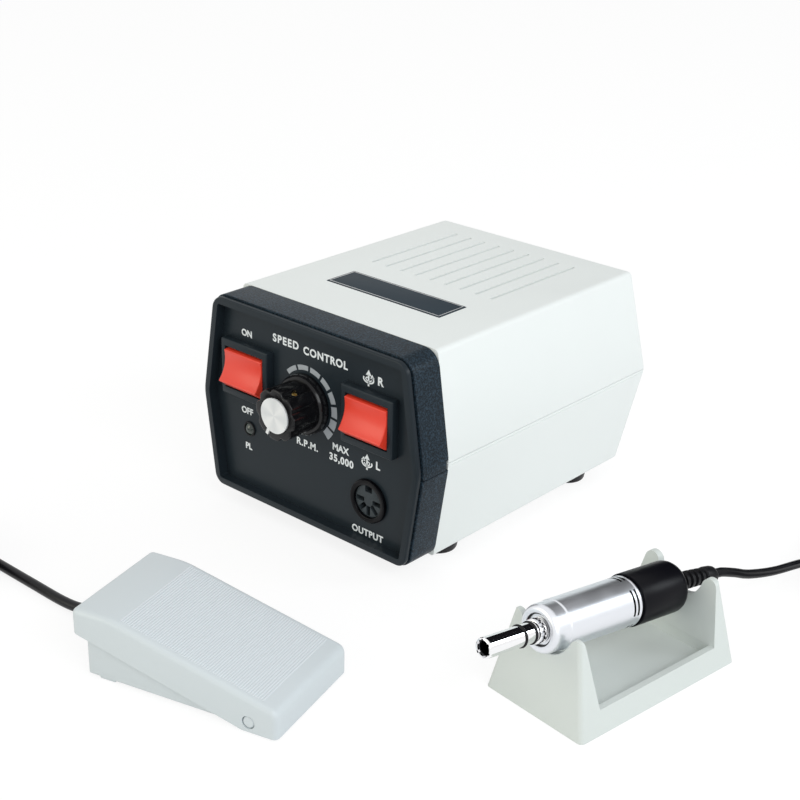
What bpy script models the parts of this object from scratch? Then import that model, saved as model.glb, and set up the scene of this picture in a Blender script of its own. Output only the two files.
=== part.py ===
"""Dental lab micromotor set: control box, foot pedal, handpiece and handpiece stand.

Metres, +Z up, floor at z = 0. The control box faces -Y. Each unit is drawn in a frame of its own.
"""
import math

import bmesh
import bpy
from mathutils import Vector

# Clearances and cuts shared by the whole set
gap = 0.0003
overrun = 0.002
weld = 0.00001
arc_steps = 3
round_steps = 24
small_steps = 12

# Where the units stand on the bench
box_x = -0.0596
box_y = -0.0145
pedal_x = -0.0539
pedal_y = -0.1227
pedal_turn = math.radians(15.0)
stand_x = 0.0899
stand_y = -0.0501
stand_turn = math.radians(82.7)

# Control box mouldings
box_seam_width = 0.1280
box_top_taper = 0.0154
box_bottom_taper = 0.0128
box_top_width = box_seam_width - box_top_taper
box_bottom_width = box_seam_width - box_bottom_taper
box_height = 0.0916
box_seam_height = 0.0447
box_bottom_depth = 0.1501
seam_overhang = 0.0082
top_overhang = 0.0021
box_seam_depth = box_bottom_depth + seam_overhang
box_top_depth = box_bottom_depth + top_overhang
shell_wall = 0.0025
shell_setback = 0.0005
back_corner_radius = 0.0020
top_edge_radius = 0.0035
bottom_edge_radius = 0.0010
band_depth = 0.0152
band_front = 0.0015
band_wall = 0.0019
band_edge_radius = 0.0008
bottom_corner_radius = 0.0060
seam_corner_radius = 0.0040
top_corner_radius = 0.0085
band_seam_height = 0.0422
band_notch_height = 0.0042
band_notch_depth = 0.0012

# Air slots and the plate in the lid
slot_count = 9
slot_pitch = 0.00865
slot_width = 0.0024
slot_front = 0.0776
slot_back_margin = 0.0141
slot_length = box_top_depth - slot_back_margin - slot_front
slot_middle_x = -0.0012
plate_width = 0.0649
plate_depth = 0.0175
plate_front = 0.0449
plate_thickness = 0.0007
plate_proud = 0.0002

# Feet of the control box
foot_height = 0.0070
foot_top_radius = 0.0095
foot_base_radius = 0.0085
foot_edge = 0.0006
foot_side_inset = 0.0136
foot_back_inset = 0.0221
foot_x = box_bottom_width / 2 - foot_side_inset
foot_front_y = 0.0350
foot_back_y = box_bottom_depth - foot_back_inset

# Front panel, its fittings spread over it as shares of the case's width
panel_margin = 0.0008
panel_lip = 0.0012
panel_flange = 0.0024
panel_rim = 0.0042
panel_face = 0.0035
panel_wall = 0.0025
panel_edge_radius = 0.0008
pad_width = 0.2227 * box_seam_width
pad_height = 0.0258
pad_front = 0.0005
pad_z = 0.0593
pad_border = 0.00285
power_x = -0.2953 * box_seam_width
direction_x = 0.2656 * box_seam_width

# Rocker switches
rocker_width = pad_width - 2 * pad_border
rocker_lip_out = 0.0054
rocker_lip_up = 0.0070
rocker_dish_out = 0.0036
rocker_end_up = 0.0093
rocker_back_in = 0.0020
rocker_back_up = 0.0079
rocker_tongue_up = 0.0022
rocker_tongue_tip_in = 0.0075
rocker_tongue_tip_up = 0.0012
rocker_edge_radius = 0.0004
rocker_pivot_y = 0.0020
rocker_rest_tilt = math.radians(15.0)
trunnion_radius = 0.0015
trunnion_reach = 0.0015
switch_body_depth = 0.0160
switch_body_side = 0.0018
switch_body_height = 0.0190
switch_slot_depth = 0.0060
switch_slot_height = 0.0100

# Speed dial
dial_x = -0.0266 * box_seam_width
dial_z = 0.0548
knob_skirt_radius = 0.0132
knob_skirt_front = 0.0050
knob_skirt_step = 0.0038
knob_skirt_top_radius = 0.0123
knob_radius = 0.0113
knob_scallop = 0.0009
knob_lobes = 8
knob_front = 0.0185
knob_recess_radius = 0.0070
knob_recess_depth = 0.0045
knob_cap_radius = 0.0077
knob_cap_thickness = 0.0009
knob_cap_sink = 0.0003
pointer_reach = 0.0102
pointer_width = 0.0014
pointer_angle = math.radians(244.0)
shaft_radius = 0.0030
shaft_front = 0.0140
shaft_back = 0.0090
pot_radius = 0.0082
pot_depth = 0.0095
bushing_radius = 0.0044
bushing_front = 0.0030
set_screw_radius = 0.0012
set_screw_z = 0.0115
set_screw_sink = 0.0008
set_screw_angle = math.radians(63.0)

# Pilot lamp and output socket
lamp_x = -0.3016 * box_seam_width
lamp_z = 0.0315
lamp_radius = 0.0027
lamp_flange_radius = 0.0034
lamp_flange = 0.0006
lamp_dome = 0.0018
lamp_length = 0.0090
output_x = 0.2586 * box_seam_width
output_z = 0.0221
output_flange_radius = 0.0097
output_flange = 0.0013
output_barrel_radius = 0.0082
output_barrel = 0.0140
output_bore_radius = 0.0073
output_insert_sink = 0.0015
output_insert_depth = 0.0085
output_key_width = 0.0030
output_key_depth = 0.0014
contact_slot_length = 0.0026
contact_slot_width = 0.0011
contact_circle_radius = 0.0048
contact_slot_depth = 0.0040
contact_count = 5

# Parts inside the control box
core_width = 0.0570
core_height = 0.0480
core_stack = 0.0240
core_limb = 0.0095
winding_overhang = 0.0085
winding_back_room = 0.0216
core_front = box_bottom_depth - winding_back_room - winding_overhang - core_stack
board_side_room = 0.0196
board_width = box_bottom_width - 2 * board_side_room
board_front = 0.0300
board_winding_room = 0.0095
board_depth = core_front - winding_overhang - board_winding_room - board_front
board_thickness = 0.0016
post_height = 0.0060
post_radius = 0.0032
post_inset = 0.0060
capacitor_radius = 0.0063
capacitor_height = 0.0200
heat_sink_width = 0.0240
heat_sink_depth = 0.0140
heat_sink_height = 0.0180
heat_sink_fins = 4
heat_sink_base = 0.0030

# Fittings in the back wall, heights measured up the slope of the wall
fitting_height = 0.0220
inlet_x = -0.2656 * box_seam_width
inlet_flange_width = 0.0310
inlet_flange_height = 0.0240
inlet_flange = 0.0015
inlet_body_width = 0.0275
inlet_body_height = 0.0200
inlet_body_depth = 0.0160
inlet_cavity_width = 0.0240
inlet_cavity_height = 0.0165
inlet_floor = 0.0020
inlet_pin_length = 0.0090
inlet_pin_width = 0.0020
inlet_pin_height = 0.0040
inlet_pin_spread = 0.0070
inlet_pin_raise = 0.0035
fuse_x = -0.0469 * box_seam_width
fuse_cap_radius = 0.0063
fuse_cap_length = 0.0060
fuse_stem_radius = 0.0045
fuse_stem_length = 0.0140
fuse_slot_width = 0.0014
fuse_slot_depth = 0.0015
foot_socket_x = 0.1094 * box_seam_width
foot_socket_nut_radius = 0.0055
foot_socket_nut = 0.0022
foot_socket_radius = 0.0036
foot_socket_length = 0.0120
foot_socket_bore = 0.0019
selector_x = 0.2969 * box_seam_width
selector_plate_width = 0.0200
selector_plate_height = 0.0100
selector_plate = 0.0012
selector_body_width = 0.0140
selector_body_height = 0.0074
selector_body_depth = 0.0080
selector_slot_height = 0.0040
selector_slot_depth = 0.0050
selector_lever_width = 0.0044
selector_lever_height = 0.0034
selector_lever_proud = 0.0040
selector_travel = 0.0040

# Foot pedal
pedal_length = 0.0865
pedal_width = 0.0500
pedal_back_height = 0.0282
pedal_front_height = 0.0116
pedal_flat = 0.0186
skirt_back_height = 0.0183
skirt_meets_base = 0.0690
skirt_low_start = 0.0720
skirt_clearance = 0.0005
treadle_wall = 0.0016
treadle_edge_radius = 0.0012
treadle_front_radius = 0.0032
treadle_back_radius = 0.0018
treadle_front_corner = 0.0028
treadle_back_corner = 0.0016
base_back = 0.0046
base_front = 0.0826
base_underside = 0.0013
base_floor = 0.0018
base_wall = 0.0018
base_back_top = 0.0200
base_front_top = 0.0090
pivot_along = 0.0750
pivot_height = 0.0044
pivot_pin_radius = 0.0012
pivot_head_radius = 0.0023
pivot_head = 0.0013
pivot_barrel_radius = 0.0030
pad_strip_length = 0.0380
pad_strip_width = 0.0080
back_strip_along = 0.0130
front_strip_along = 0.0600
strip_rim = 0.0003
spring_along = 0.0120
spring_radius = 0.0032
spring_wire = 0.0008
spring_curls = 7
spring_points = 8
spring_post_radius = 0.0020
spring_post_height = 0.0060
switch_along = 0.0340
foot_switch_length = 0.0120
foot_switch_width = 0.0080
foot_switch_height = 0.0126
button_radius = 0.0020
button_length = 0.0105
grommet_side = 0.0080
grommet_height = 0.0090
grommet_flange_radius = 0.0042
grommet_flange = 0.0013
grommet_neck_radius = 0.0033

# Handpiece stand
stand_length = 0.0845
stand_width = 0.0480
stand_height = 0.0356
stand_side_lean = 0.22
stand_end_lean = 0.13
stand_corner_radius = 0.0020
stand_edge_radius = 0.0010
horn_radius = 0.0020
stand_end_wall = 0.0123
stand_inner_lean = 0.16
tray_floor = 0.0052
tray_wall = 0.0025
tray_wall_height = 0.0092
front_notch_radius = 0.0123
back_notch_radius = 0.0109
stand_hollow_wall = 0.0022
stand_hollow_height = 0.0170

# Handpiece, lengths measured back along its axis from the rim of the motor housing
axis_height = 0.0354
axis_tilt = math.radians(6.71)
housing_rim_radius = 0.0081
housing_collar_radius = 0.0090
housing_body_radius = 0.00925
housing_back_radius = 0.0096
housing_rim_bevel = 0.0009
housing_recess_radius = 0.0061
housing_recess = 0.0012
collar_length = 0.0073
collar_groove = 0.0006
collar_groove_depth = 0.0003
housing_length = 0.0450
spigot_radius = 0.0083
spigot_length = 0.0050
housing_bore = 0.0075
housing_front_wall = 0.0032
nose_stub_radius = 0.0034
slit_first = 0.0410
slit_second = 0.04305
slit_width = 0.0010
slit_bridge = 0.0047
slit_turn = math.radians(20.5)
nose_length = 0.0267
nose_radius = 0.0038
nose_bore = 0.0029
nose_mouth_bevel = 0.0006
nose_bore_depth = 0.0220
mouth_slot_width = 0.0012
mouth_slot_depth = 0.0022
mouth_slot_pairs = 2
ring_front = 0.0093
ring_back = 0.0042
ring_wire = 0.0008
ring_groove = 0.0005
ring_groove_width = 0.0014
neck_radius = 0.0046
neck_start = 0.0029
neck_flutes = 8
neck_flute_radius = 0.0006
cap_radius = 0.0101
cap_start = 0.0462
cap_end = 0.0723
cap_edge_radius = 0.0030
cap_bore = 0.0086
cap_inner_bore = 0.0076
cap_inner_start = 0.0510
cap_end_wall = 0.0030
relief_end = 0.0990
relief_start_radius = 0.0038
relief_end_radius = 0.0028
relief_rib_count = 7
relief_rib_depth = 0.0006
relief_flange_radius = 0.0055
relief_flange = 0.0020
relief_neck_radius = 0.0031
rotor_shaft_radius = 0.0015
rotor_front = 0.0180
rotor_back = 0.0655
armature_radius = 0.0054
armature_start = 0.0110
armature_end = 0.0340
commutator_radius = 0.0034
commutator_start = 0.0500
commutator_end = 0.0580
drive_dog_radius = 0.0024
drive_dog_length = 0.0030
drive_dog_slot = 0.0012
bearing_width = 0.0040
front_bearing_start = 0.0040
back_bearing_start = 0.0600
bearing_outer = 0.0071
magnet_inner = 0.0058
magnet_start = 0.0100
magnet_end = 0.0360
brush_inner = 0.0039
brush_start = 0.0515
brush_end = 0.0575

# Cords and plugs
hand_cord_diameter = 0.0040
pedal_cord_diameter = 0.0042
coil_turns_per_layer = 2.5
coil_layers = 4
coil_points = 24
coil_outer_share = 7.07
coil_side_clearance = 0.0005
coil_layer_clearance = 0.00045
climb_turns = 0.5
tail_turns = 0.36
tail_out_turns = 0.15
tail_drop_start = 0.12
tail_out_share = 1.2
din_grip_radius = 0.0083
din_grip_front_radius = 0.0087
din_grip_neck_radius = 0.0036
din_grip_length = 0.0380
din_grip_taper = 0.0120
din_shell_radius = 0.0068
din_shell_bore = 0.0061
din_shell_length = 0.0110
din_pin_radius = 0.0007
din_pin_length = 0.0080
din_back_wall = 0.0020
jack_grip_radius = 0.0050
jack_grip_neck_radius = 0.0030
jack_grip_length = 0.0260
jack_grip_taper = 0.0080
jack_tip_radius = 0.00175
jack_tip_length = 0.0140
jack_tip_waist = 0.0012
jack_collar = 0.0015
jack_collar_radius = 0.0040
plug_floor_clearance = 0.0002

# Route of the pedal cord, from the grommet to its coil
pedal_cord_route = (
    (-0.0536, -0.1143, 0.0090),
    (-0.0586, -0.1156, 0.0086),
    (-0.0676, -0.1177, 0.0060),
    (-0.0786, -0.1196, 0.0030),
    (-0.0896, -0.1206, 0.0021),
    (-0.1096, -0.1209, 0.0021),
    (-0.1336, -0.1211, 0.0021),
    (-0.1476, -0.1212, 0.0021),
    (-0.1552, -0.1212, 0.0021),
)

# Route of the handpiece cord in the stand's middle plane: distance back along the stand, height
hand_cord_route = (
    (0.0986, 0.0238),
    (0.1027, 0.0233),
    (0.1120, 0.0197),
    (0.1213, 0.0152),
    (0.1380, 0.0098),
    (0.1576, 0.0058),
    (0.1700, 0.0030),
    (0.1790, 0.0020),
    (0.1854, 0.0020),
)

for leftover in list(bpy.data.objects):
    bpy.data.objects.remove(leftover, do_unlink=True)
parts = bpy.data.collections.new("dental_lab_micromotor")
cutters = bpy.data.collections.new("cutters")
bpy.context.scene.collection.children.link(parts)
bpy.context.scene.collection.children.link(cutters)


# Tools of the drawing board
def finish(name, colour, roughness, metallic=0.0):
    material = bpy.data.materials.new(name)
    material.use_nodes = True
    shader = material.node_tree.nodes["Principled BSDF"]
    shader.inputs["Base Color"].default_value = (*colour, 1)
    shader.inputs["Roughness"].default_value = roughness
    shader.inputs["Metallic"].default_value = metallic
    return material


def frame(name, place, turn=(0, 0, 0), parent=None):
    empty = bpy.data.objects.new(name, None)
    parts.objects.link(empty)
    empty.parent = parent
    empty.location = place
    empty.rotation_euler = turn
    return empty


def add(name, mesh, parent, place=(0, 0, 0), turn=(0, 0, 0), material=None):
    item = bpy.data.objects.new(name, mesh)
    item.parent = parent
    item.location = place
    item.rotation_euler = turn
    if material:
        parts.objects.link(item)
        if not mesh.materials:
            mesh.materials.append(material)
        mesh.shade_smooth()
        mesh.set_sharp_from_angle(angle=math.radians(32))
    else:
        cutters.objects.link(item)
        item.hide_render = True
        item.display_type = "WIRE"
    return item


def combine(item, operation, *tools):
    for tool in tools:
        step = item.modifiers.new(tool.name, "BOOLEAN")
        step.operation = operation
        step.object = tool
        step.solver = "EXACT"
    return item


def cut(item, *tools):
    return combine(item, "DIFFERENCE", *tools)


def join(item, *tools):
    return combine(item, "UNION", *tools)


def round_edges(item, width, segments=2, angle=math.radians(40)):
    step = item.modifiers.new("rounded edges", "BEVEL")
    step.width = width
    step.segments = segments
    step.limit_method = "ANGLE"
    step.angle_limit = angle
    return item


def block(low, high):
    mesh = bpy.data.meshes.new("block")
    form = bmesh.new()
    bmesh.ops.create_cube(form, size=1)
    low = Vector(low)
    high = Vector(high)
    bmesh.ops.scale(form, vec=high - low, verts=form.verts)
    bmesh.ops.translate(form, vec=(high + low) / 2, verts=form.verts)
    form.to_mesh(mesh)
    form.free()
    return mesh


def rod(radius, low, high, steps=small_steps, top_radius=None):
    mesh = bpy.data.meshes.new("rod")
    form = bmesh.new()
    bmesh.ops.create_cone(form, cap_ends=True, segments=steps, radius1=radius,
                          radius2=radius if top_radius is None else top_radius, depth=high - low)
    bmesh.ops.translate(form, vec=(0, 0, (high + low) / 2), verts=form.verts)
    form.to_mesh(mesh)
    form.free()
    return mesh


def plate(outlines, thickness, centred=False):
    curve = bpy.data.curves.new("outline", "CURVE")
    curve.dimensions = "2D"
    curve.fill_mode = "BOTH"
    curve.extrude = thickness / 2
    for outline in outlines:
        spline = curve.splines.new("POLY")
        spline.points.add(len(outline) - 1)
        for point, place in zip(spline.points, outline):
            point.co = (place[0], place[1], 0, 1)
        spline.use_cyclic_u = True
    guide = bpy.data.objects.new("outline", curve)
    cutters.objects.link(guide)
    mesh = bpy.data.meshes.new_from_object(guide.evaluated_get(bpy.context.evaluated_depsgraph_get()))
    bpy.data.objects.remove(guide)
    form = bmesh.new()
    form.from_mesh(mesh)
    bmesh.ops.remove_doubles(form, verts=form.verts, dist=weld)
    bmesh.ops.dissolve_limit(form, angle_limit=math.radians(0.3), verts=form.verts, edges=form.edges)
    bmesh.ops.recalc_face_normals(form, faces=form.faces)
    if not centred:
        bmesh.ops.translate(form, vec=(0, 0, thickness / 2), verts=form.verts)
    form.to_mesh(mesh)
    form.free()
    return mesh


def soften(mesh, radius, segments, chosen):
    form = bmesh.new()
    form.from_mesh(mesh)
    edges = [edge for edge in form.edges if chosen(*(vert.co for vert in edge.verts))]
    bmesh.ops.bevel(form, geom=edges, offset=radius, offset_type="OFFSET", segments=segments,
                    profile=0.5, affect="EDGES", clamp_overlap=True, material=-1)
    form.to_mesh(mesh)
    form.free()
    return mesh


def rounded(corners, radii, steps=arc_steps):
    points = []
    for index, corner in enumerate(corners):
        radius = radii[index % len(radii)]
        here = Vector(corner)
        if not radius:
            points.append(here)
            continue
        before = (Vector(corners[index - 1]) - here).normalized()
        after = (Vector(corners[(index + 1) % len(corners)]) - here).normalized()
        half = before.angle(after) / 2
        middle = here + (before + after).normalized() * radius / math.sin(half)
        start = here + before * radius / math.tan(half) - middle
        end = here + after * radius / math.tan(half) - middle
        first = math.atan2(start.y, start.x)
        sweep = (math.atan2(end.y, end.x) - first + math.pi) % math.tau - math.pi
        for step in range(steps + 1):
            angle = first + sweep * step / steps
            points.append(middle + Vector((math.cos(angle), math.sin(angle))) * radius)
    return points


def inset(corners, distance):
    points = []
    for index, corner in enumerate(corners):
        here = Vector(corner)
        along = (here - Vector(corners[index - 1])).normalized()
        onward = (Vector(corners[(index + 1) % len(corners)]) - here).normalized()
        first = Vector((-along.y, along.x))
        second = Vector((-onward.y, onward.x))
        points.append(here + (first + second) / (1 + first.dot(second)) * distance)
    return points


def rectangle(low_x, low_y, high_x, high_y):
    return [(low_x, low_y), (high_x, low_y), (high_x, high_y), (low_x, high_y)]


def circle(radius, steps=round_steps, middle=(0, 0)):
    turns = [math.tau * step / steps for step in range(steps)]
    return [(middle[0] + radius * math.cos(turn), middle[1] + radius * math.sin(turn)) for turn in turns]


def turned(name, profile, parent, place=(0, 0, 0), turn=(0, 0, 0), material=None,
           steps=round_steps, ring=False):
    mesh = bpy.data.meshes.new(name)
    edges = [(index, index + 1) for index in range(len(profile) - 1)]
    if ring:
        edges.append((len(profile) - 1, 0))
    mesh.from_pydata([(radius, 0, height) for radius, height in profile], edges, [])
    item = add(name, mesh, parent, place, turn, material)
    step = item.modifiers.new("turning", "SCREW")
    step.axis = "Z"
    step.angle = math.tau
    step.steps = steps
    step.render_steps = steps
    step.use_merge_vertices = True
    step.merge_threshold = weld
    step.use_smooth_shade = True
    return item


def tube(name, points, diameter, material, resolution, parent=None):
    curve = bpy.data.curves.new(name, "CURVE")
    curve.dimensions = "3D"
    curve.bevel_depth = diameter / 2
    curve.bevel_resolution = resolution
    curve.use_fill_caps = True
    curve.materials.append(material)
    spline = curve.splines.new("POLY")
    spline.points.add(len(points) - 1)
    for point, place in zip(spline.points, points):
        point.co = (*place, 1)
    spline.use_smooth = True
    item = bpy.data.objects.new(name, curve)
    item.parent = parent
    parts.objects.link(item)
    return item


def smooth_step(value):
    value = min(max(value, 0), 1)
    return value * value * (3 - 2 * value)


# Finishes, from the photographed colours
white_shell = finish("white_shell", (0.80, 0.84, 0.81), 0.55)
black_band = finish("black_band", (0.020, 0.022, 0.026), 0.60)
slate_panel = finish("slate_panel", (0.045, 0.055, 0.065), 0.35)
plate_finish = finish("lid_plate", (0.050, 0.062, 0.075), 0.35)
black_rubber = finish("black_rubber", (0.018, 0.018, 0.020), 0.80)
rocker_red = finish("rocker_red", (0.86, 0.09, 0.05), 0.35)
black_plastic = finish("black_plastic", (0.022, 0.022, 0.025), 0.40)
knob_black = finish("knob_black", (0.030, 0.031, 0.034), 0.28)
cap_silver = finish("cap_silver", (0.86, 0.88, 0.88), 0.30, 0.85)
brass = finish("brass", (0.80, 0.58, 0.22), 0.30, 1.0)
steel = finish("steel", (0.62, 0.63, 0.65), 0.28, 1.0)
lamp_green = finish("lamp_green", (0.010, 0.070, 0.030), 0.15)
insert_grey = finish("insert_grey", (0.075, 0.082, 0.090), 0.50)
lamination = finish("lamination", (0.22, 0.22, 0.23), 0.45, 0.8)
copper = finish("copper_winding", (0.62, 0.26, 0.12), 0.40, 0.7)
board_green = finish("board_green", (0.03, 0.20, 0.09), 0.50)
treadle_grey = finish("treadle_grey", (0.74, 0.79, 0.82), 0.50)
base_grey = finish("base_grey", (0.72, 0.76, 0.73), 0.55)
stand_grey = finish("stand_grey", (0.74, 0.78, 0.76), 0.50)
aluminium = finish("aluminium", (0.80, 0.82, 0.85), 0.25, 1.0)
chrome = finish("chrome", (0.88, 0.88, 0.88), 0.08, 1.0)
cap_black = finish("cap_black", (0.025, 0.026, 0.030), 0.45)
cord_black = finish("cord_black", (0.015, 0.015, 0.018), 0.38)
magnet_grey = finish("magnet_grey", (0.10, 0.10, 0.11), 0.60)

# Control box: shells of the case
front_turn = (math.pi / 2, 0, 0)
box = frame("control_box", (box_x, box_y, foot_height))
shell_front = band_front + band_depth + gap
shell_low = box_seam_height - gap / 2
shell_high = box_seam_height + gap / 2


def case_form(seam_height, end_height, end_width, end_depth, edge_radius, margin):
    toward_end = math.copysign(1, end_height - seam_height)
    past = overrun if margin else 0
    mesh = block((0, 0, 0), (1, 1, 1))
    for vert in mesh.vertices:
        at_end = (vert.co.z > 0.5) == (toward_end > 0)
        height = end_height - toward_end * margin if at_end else seam_height - toward_end * past
        share = (height - seam_height) / (end_height - seam_height)
        half = (box_seam_width + (end_width - box_seam_width) * share) / 2 - shell_setback - margin
        back = box_seam_depth + (end_depth - box_seam_depth) * share - margin
        vert.co.x = half if vert.co.x > 0.5 else -half
        vert.co.y = back if vert.co.y > 0.5 else shell_front - past
        vert.co.z = height
    behind = shell_front + overrun
    last = end_height - toward_end * margin

    def upright_at_back(start, end):
        return abs(start.z - end.z) > shell_wall and min(start.y, end.y) > behind

    def round_the_end(start, end):
        return max(abs(start.z - last), abs(end.z - last)) < weld and max(start.y, end.y) > behind

    soften(mesh, max(back_corner_radius - margin, gap), arc_steps, upright_at_back)
    return soften(mesh, max(edge_radius - margin, gap), arc_steps, round_the_end)


def case_half(name, seam_height, end_height, end_width, end_depth, edge_radius):
    sizes = (seam_height, end_height, end_width, end_depth, edge_radius)
    half_case = add(name, case_form(*sizes, 0), box, material=white_shell)
    hollow = case_form(*sizes, shell_wall)
    return cut(half_case, add(name + "_hollow", hollow, box))


lower_shell = case_half("lower_shell", shell_low, 0, box_bottom_width, box_bottom_depth, bottom_edge_radius)
upper_shell = case_half("upper_shell", shell_high, box_height, box_top_width, box_top_depth, top_edge_radius)

# Air slots through the lid and the seat of its plate


def slot_outline(middle_x):
    half = slot_width / 2
    back = slot_front + slot_length - half
    front = slot_front + half
    points = []
    for end, first in ((back, 0), (front, math.pi)):
        for step in range(3):
            angle = first + math.pi * step / 2
            points.append((middle_x + half * math.cos(angle), end + half * math.sin(angle)))
    return points


slots = [slot_outline(slot_middle_x + slot_pitch * (number - (slot_count - 1) / 2))
         for number in range(slot_count)]
slot_cutter = add("air_slots", plate(slots, shell_wall + 2 * overrun), box,
                  place=(0, 0, box_height - shell_wall - overrun))
plate_seat = plate_thickness - plate_proud + gap
plate_half = plate_width / 2
seat_cutter = add("plate_seat", block(
    (-plate_half - gap, plate_front - gap, box_height - plate_seat),
    (plate_half + gap, plate_front + plate_depth + gap, box_height + overrun)), box)
cut(upper_shell, slot_cutter, seat_cutter)
plate_low = box_height - plate_seat + gap
name_plate = add("name_plate", block((-plate_half, plate_front, plate_low),
                                     (plate_half, plate_front + plate_depth, plate_low + plate_thickness)),
                 box, material=plate_finish)

# Band round the front, in two halves
box_corners = [
    (-box_bottom_width / 2, 0), (box_bottom_width / 2, 0), (box_seam_width / 2, box_seam_height),
    (box_top_width / 2, box_height), (-box_top_width / 2, box_height),
    (-box_seam_width / 2, box_seam_height)]
box_corner_radii = (bottom_corner_radius, bottom_corner_radius, seam_corner_radius,
                    top_corner_radius, top_corner_radius, seam_corner_radius)


def hexagon(distance):
    share = 1 - distance / (bottom_corner_radius + band_wall)
    return rounded(inset(box_corners, distance), [radius * share for radius in box_corner_radii])


band_back = band_front + band_depth
inner_band = add("inner_band", plate([hexagon(band_wall)], band_depth + 2 * overrun), box,
                 place=(0, band_back + overrun, 0), turn=front_turn)
half_width = box_seam_width / 2 + overrun
band_split_low = band_seam_height - gap / 2
band_split_high = band_seam_height + gap / 2
below_split = add("below_split", block((-half_width, -overrun, -overrun),
                                       (half_width, band_back + overrun, band_split_high)), box)
above_split = add("above_split", block((-half_width, -overrun, band_split_low),
                                       (half_width, band_back + overrun, box_height + overrun)), box)
band_notch = add("band_notch", block(
    (-half_width, band_back - band_notch_depth, band_split_low),
    (half_width, band_back + overrun, band_split_high + band_notch_height)), box)
for name, other_half in (("bezel_upper", below_split), ("bezel_lower", above_split)):
    band_mesh = soften(plate([hexagon(0)], band_depth), band_edge_radius, 1,
                       lambda start, end: min(start.z, end.z) > band_depth - weld)
    band = add(name, band_mesh, box, place=(0, band_back, 0), turn=front_turn, material=black_band)
    cut(band, inner_band, other_half)
    if other_half is below_split:
        cut(band, band_notch)

# Front panel: a dished tray with a raised pad round each rocker
panel_back = panel_face + panel_wall
flange_back = panel_flange - panel_lip
tray_margin = band_wall + gap
flange_mesh = soften(plate([hexagon(panel_margin)], panel_flange), panel_edge_radius, 1,
                     lambda start, end: min(start.z, end.z) > panel_flange - weld)
front_panel = add("front_panel", flange_mesh, box, place=(0, flange_back, 0), turn=front_turn,
                  material=slate_panel)
tray = add("panel_tray", plate([hexagon(tray_margin)], panel_back), box,
           place=(0, panel_back, 0), turn=front_turn)
recess_depth = panel_face + panel_lip + overrun
recess = add("panel_recess", plate([hexagon(panel_rim)], recess_depth), box,
             place=(0, panel_face, 0), turn=front_turn)
for name, middle in (("power_pad", power_x), ("direction_pad", direction_x)):
    cut(recess, add(name, block((middle - pad_width / 2, -pad_front, pad_z - pad_height / 2),
                                (middle + pad_width / 2, panel_face + overrun, pad_z + pad_height / 2)),
                    box))
join(front_panel, tray)
cut(front_panel, recess)
opening_half_width = rocker_width / 2 + gap
opening_half_height = rocker_end_up + gap
for name, middle in (("power_opening", power_x), ("direction_opening", direction_x)):
    cut(front_panel, add(name, block(
        (middle - opening_half_width, -panel_lip - overrun, pad_z - opening_half_height),
        (middle + opening_half_width, panel_back + overrun, pad_z + opening_half_height)), box))
    reach = opening_half_width + trunnion_reach
    cut(front_panel, add(name + "_trunnions", rod(trunnion_radius + gap, -reach, reach), box,
                         place=(middle, rocker_pivot_y, pad_z), turn=(0, math.pi / 2, 0)))
front_holes = (("bushing_hole", dial_x, dial_z, bushing_radius), ("lamp_hole", lamp_x, lamp_z, lamp_radius),
               ("output_hole", output_x, output_z, output_barrel_radius))
for name, hole_x, hole_z, radius in front_holes:
    cut(front_panel, add(name, rod(radius + gap, -overrun, panel_wall + overrun, round_steps), box,
                         place=(hole_x, panel_back, hole_z), turn=front_turn))


# Rocker switches: dished rocker on trunnions, tongue reaching into the switch behind
def tilted(points, angle):
    return [(out * math.cos(angle) - up * math.sin(angle), out * math.sin(angle) + up * math.cos(angle))
            for out, up in points]


dish = []
for step in range(2 * arc_steps + 1):
    up_share = 1 - step / arc_steps
    dish.append((rocker_dish_out + (rocker_lip_out - rocker_dish_out) * up_share ** 2,
                 rocker_lip_up * up_share))
rocker_profile = [(0, rocker_end_up), *dish, (0, -rocker_end_up), (-rocker_back_in, -rocker_back_up),
                  (-rocker_back_in, -rocker_tongue_up), (-rocker_tongue_tip_in, -rocker_tongue_tip_up),
                  (-rocker_tongue_tip_in, rocker_tongue_tip_up), (-rocker_back_in, rocker_tongue_up),
                  (-rocker_back_in, rocker_back_up)]
side_turn = (math.pi / 2, 0, -math.pi / 2)
for prefix, middle in (("power", power_x), ("direction", direction_x)):
    pivot = frame(prefix + "_pivot", (middle, rocker_pivot_y, pad_z), parent=box)
    rocker = add(prefix + "_rocker", plate([tilted(rocker_profile, rocker_rest_tilt)], rocker_width, True),
                 pivot, turn=side_turn, material=rocker_red)
    round_edges(rocker, rocker_edge_radius, 1)
    reach = opening_half_width + trunnion_reach - gap
    join(rocker, add(prefix + "_trunnion", rod(trunnion_radius, -reach, reach), pivot,
                     turn=(0, math.pi / 2, 0)))
    body_half = opening_half_width + switch_body_side
    switch_front = panel_back + gap
    body = add(prefix + "_switch_body", block(
        (middle - body_half, switch_front, pad_z - switch_body_height / 2),
        (middle + body_half, switch_front + switch_body_depth, pad_z + switch_body_height / 2)),
        box, material=black_plastic)
    cut(body, add(prefix + "_switch_slot", block(
        (middle - opening_half_width, switch_front - overrun, pad_z - switch_slot_height / 2),
        (middle + opening_half_width, switch_front + switch_slot_depth, pad_z + switch_slot_height / 2)),
        box))

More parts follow.
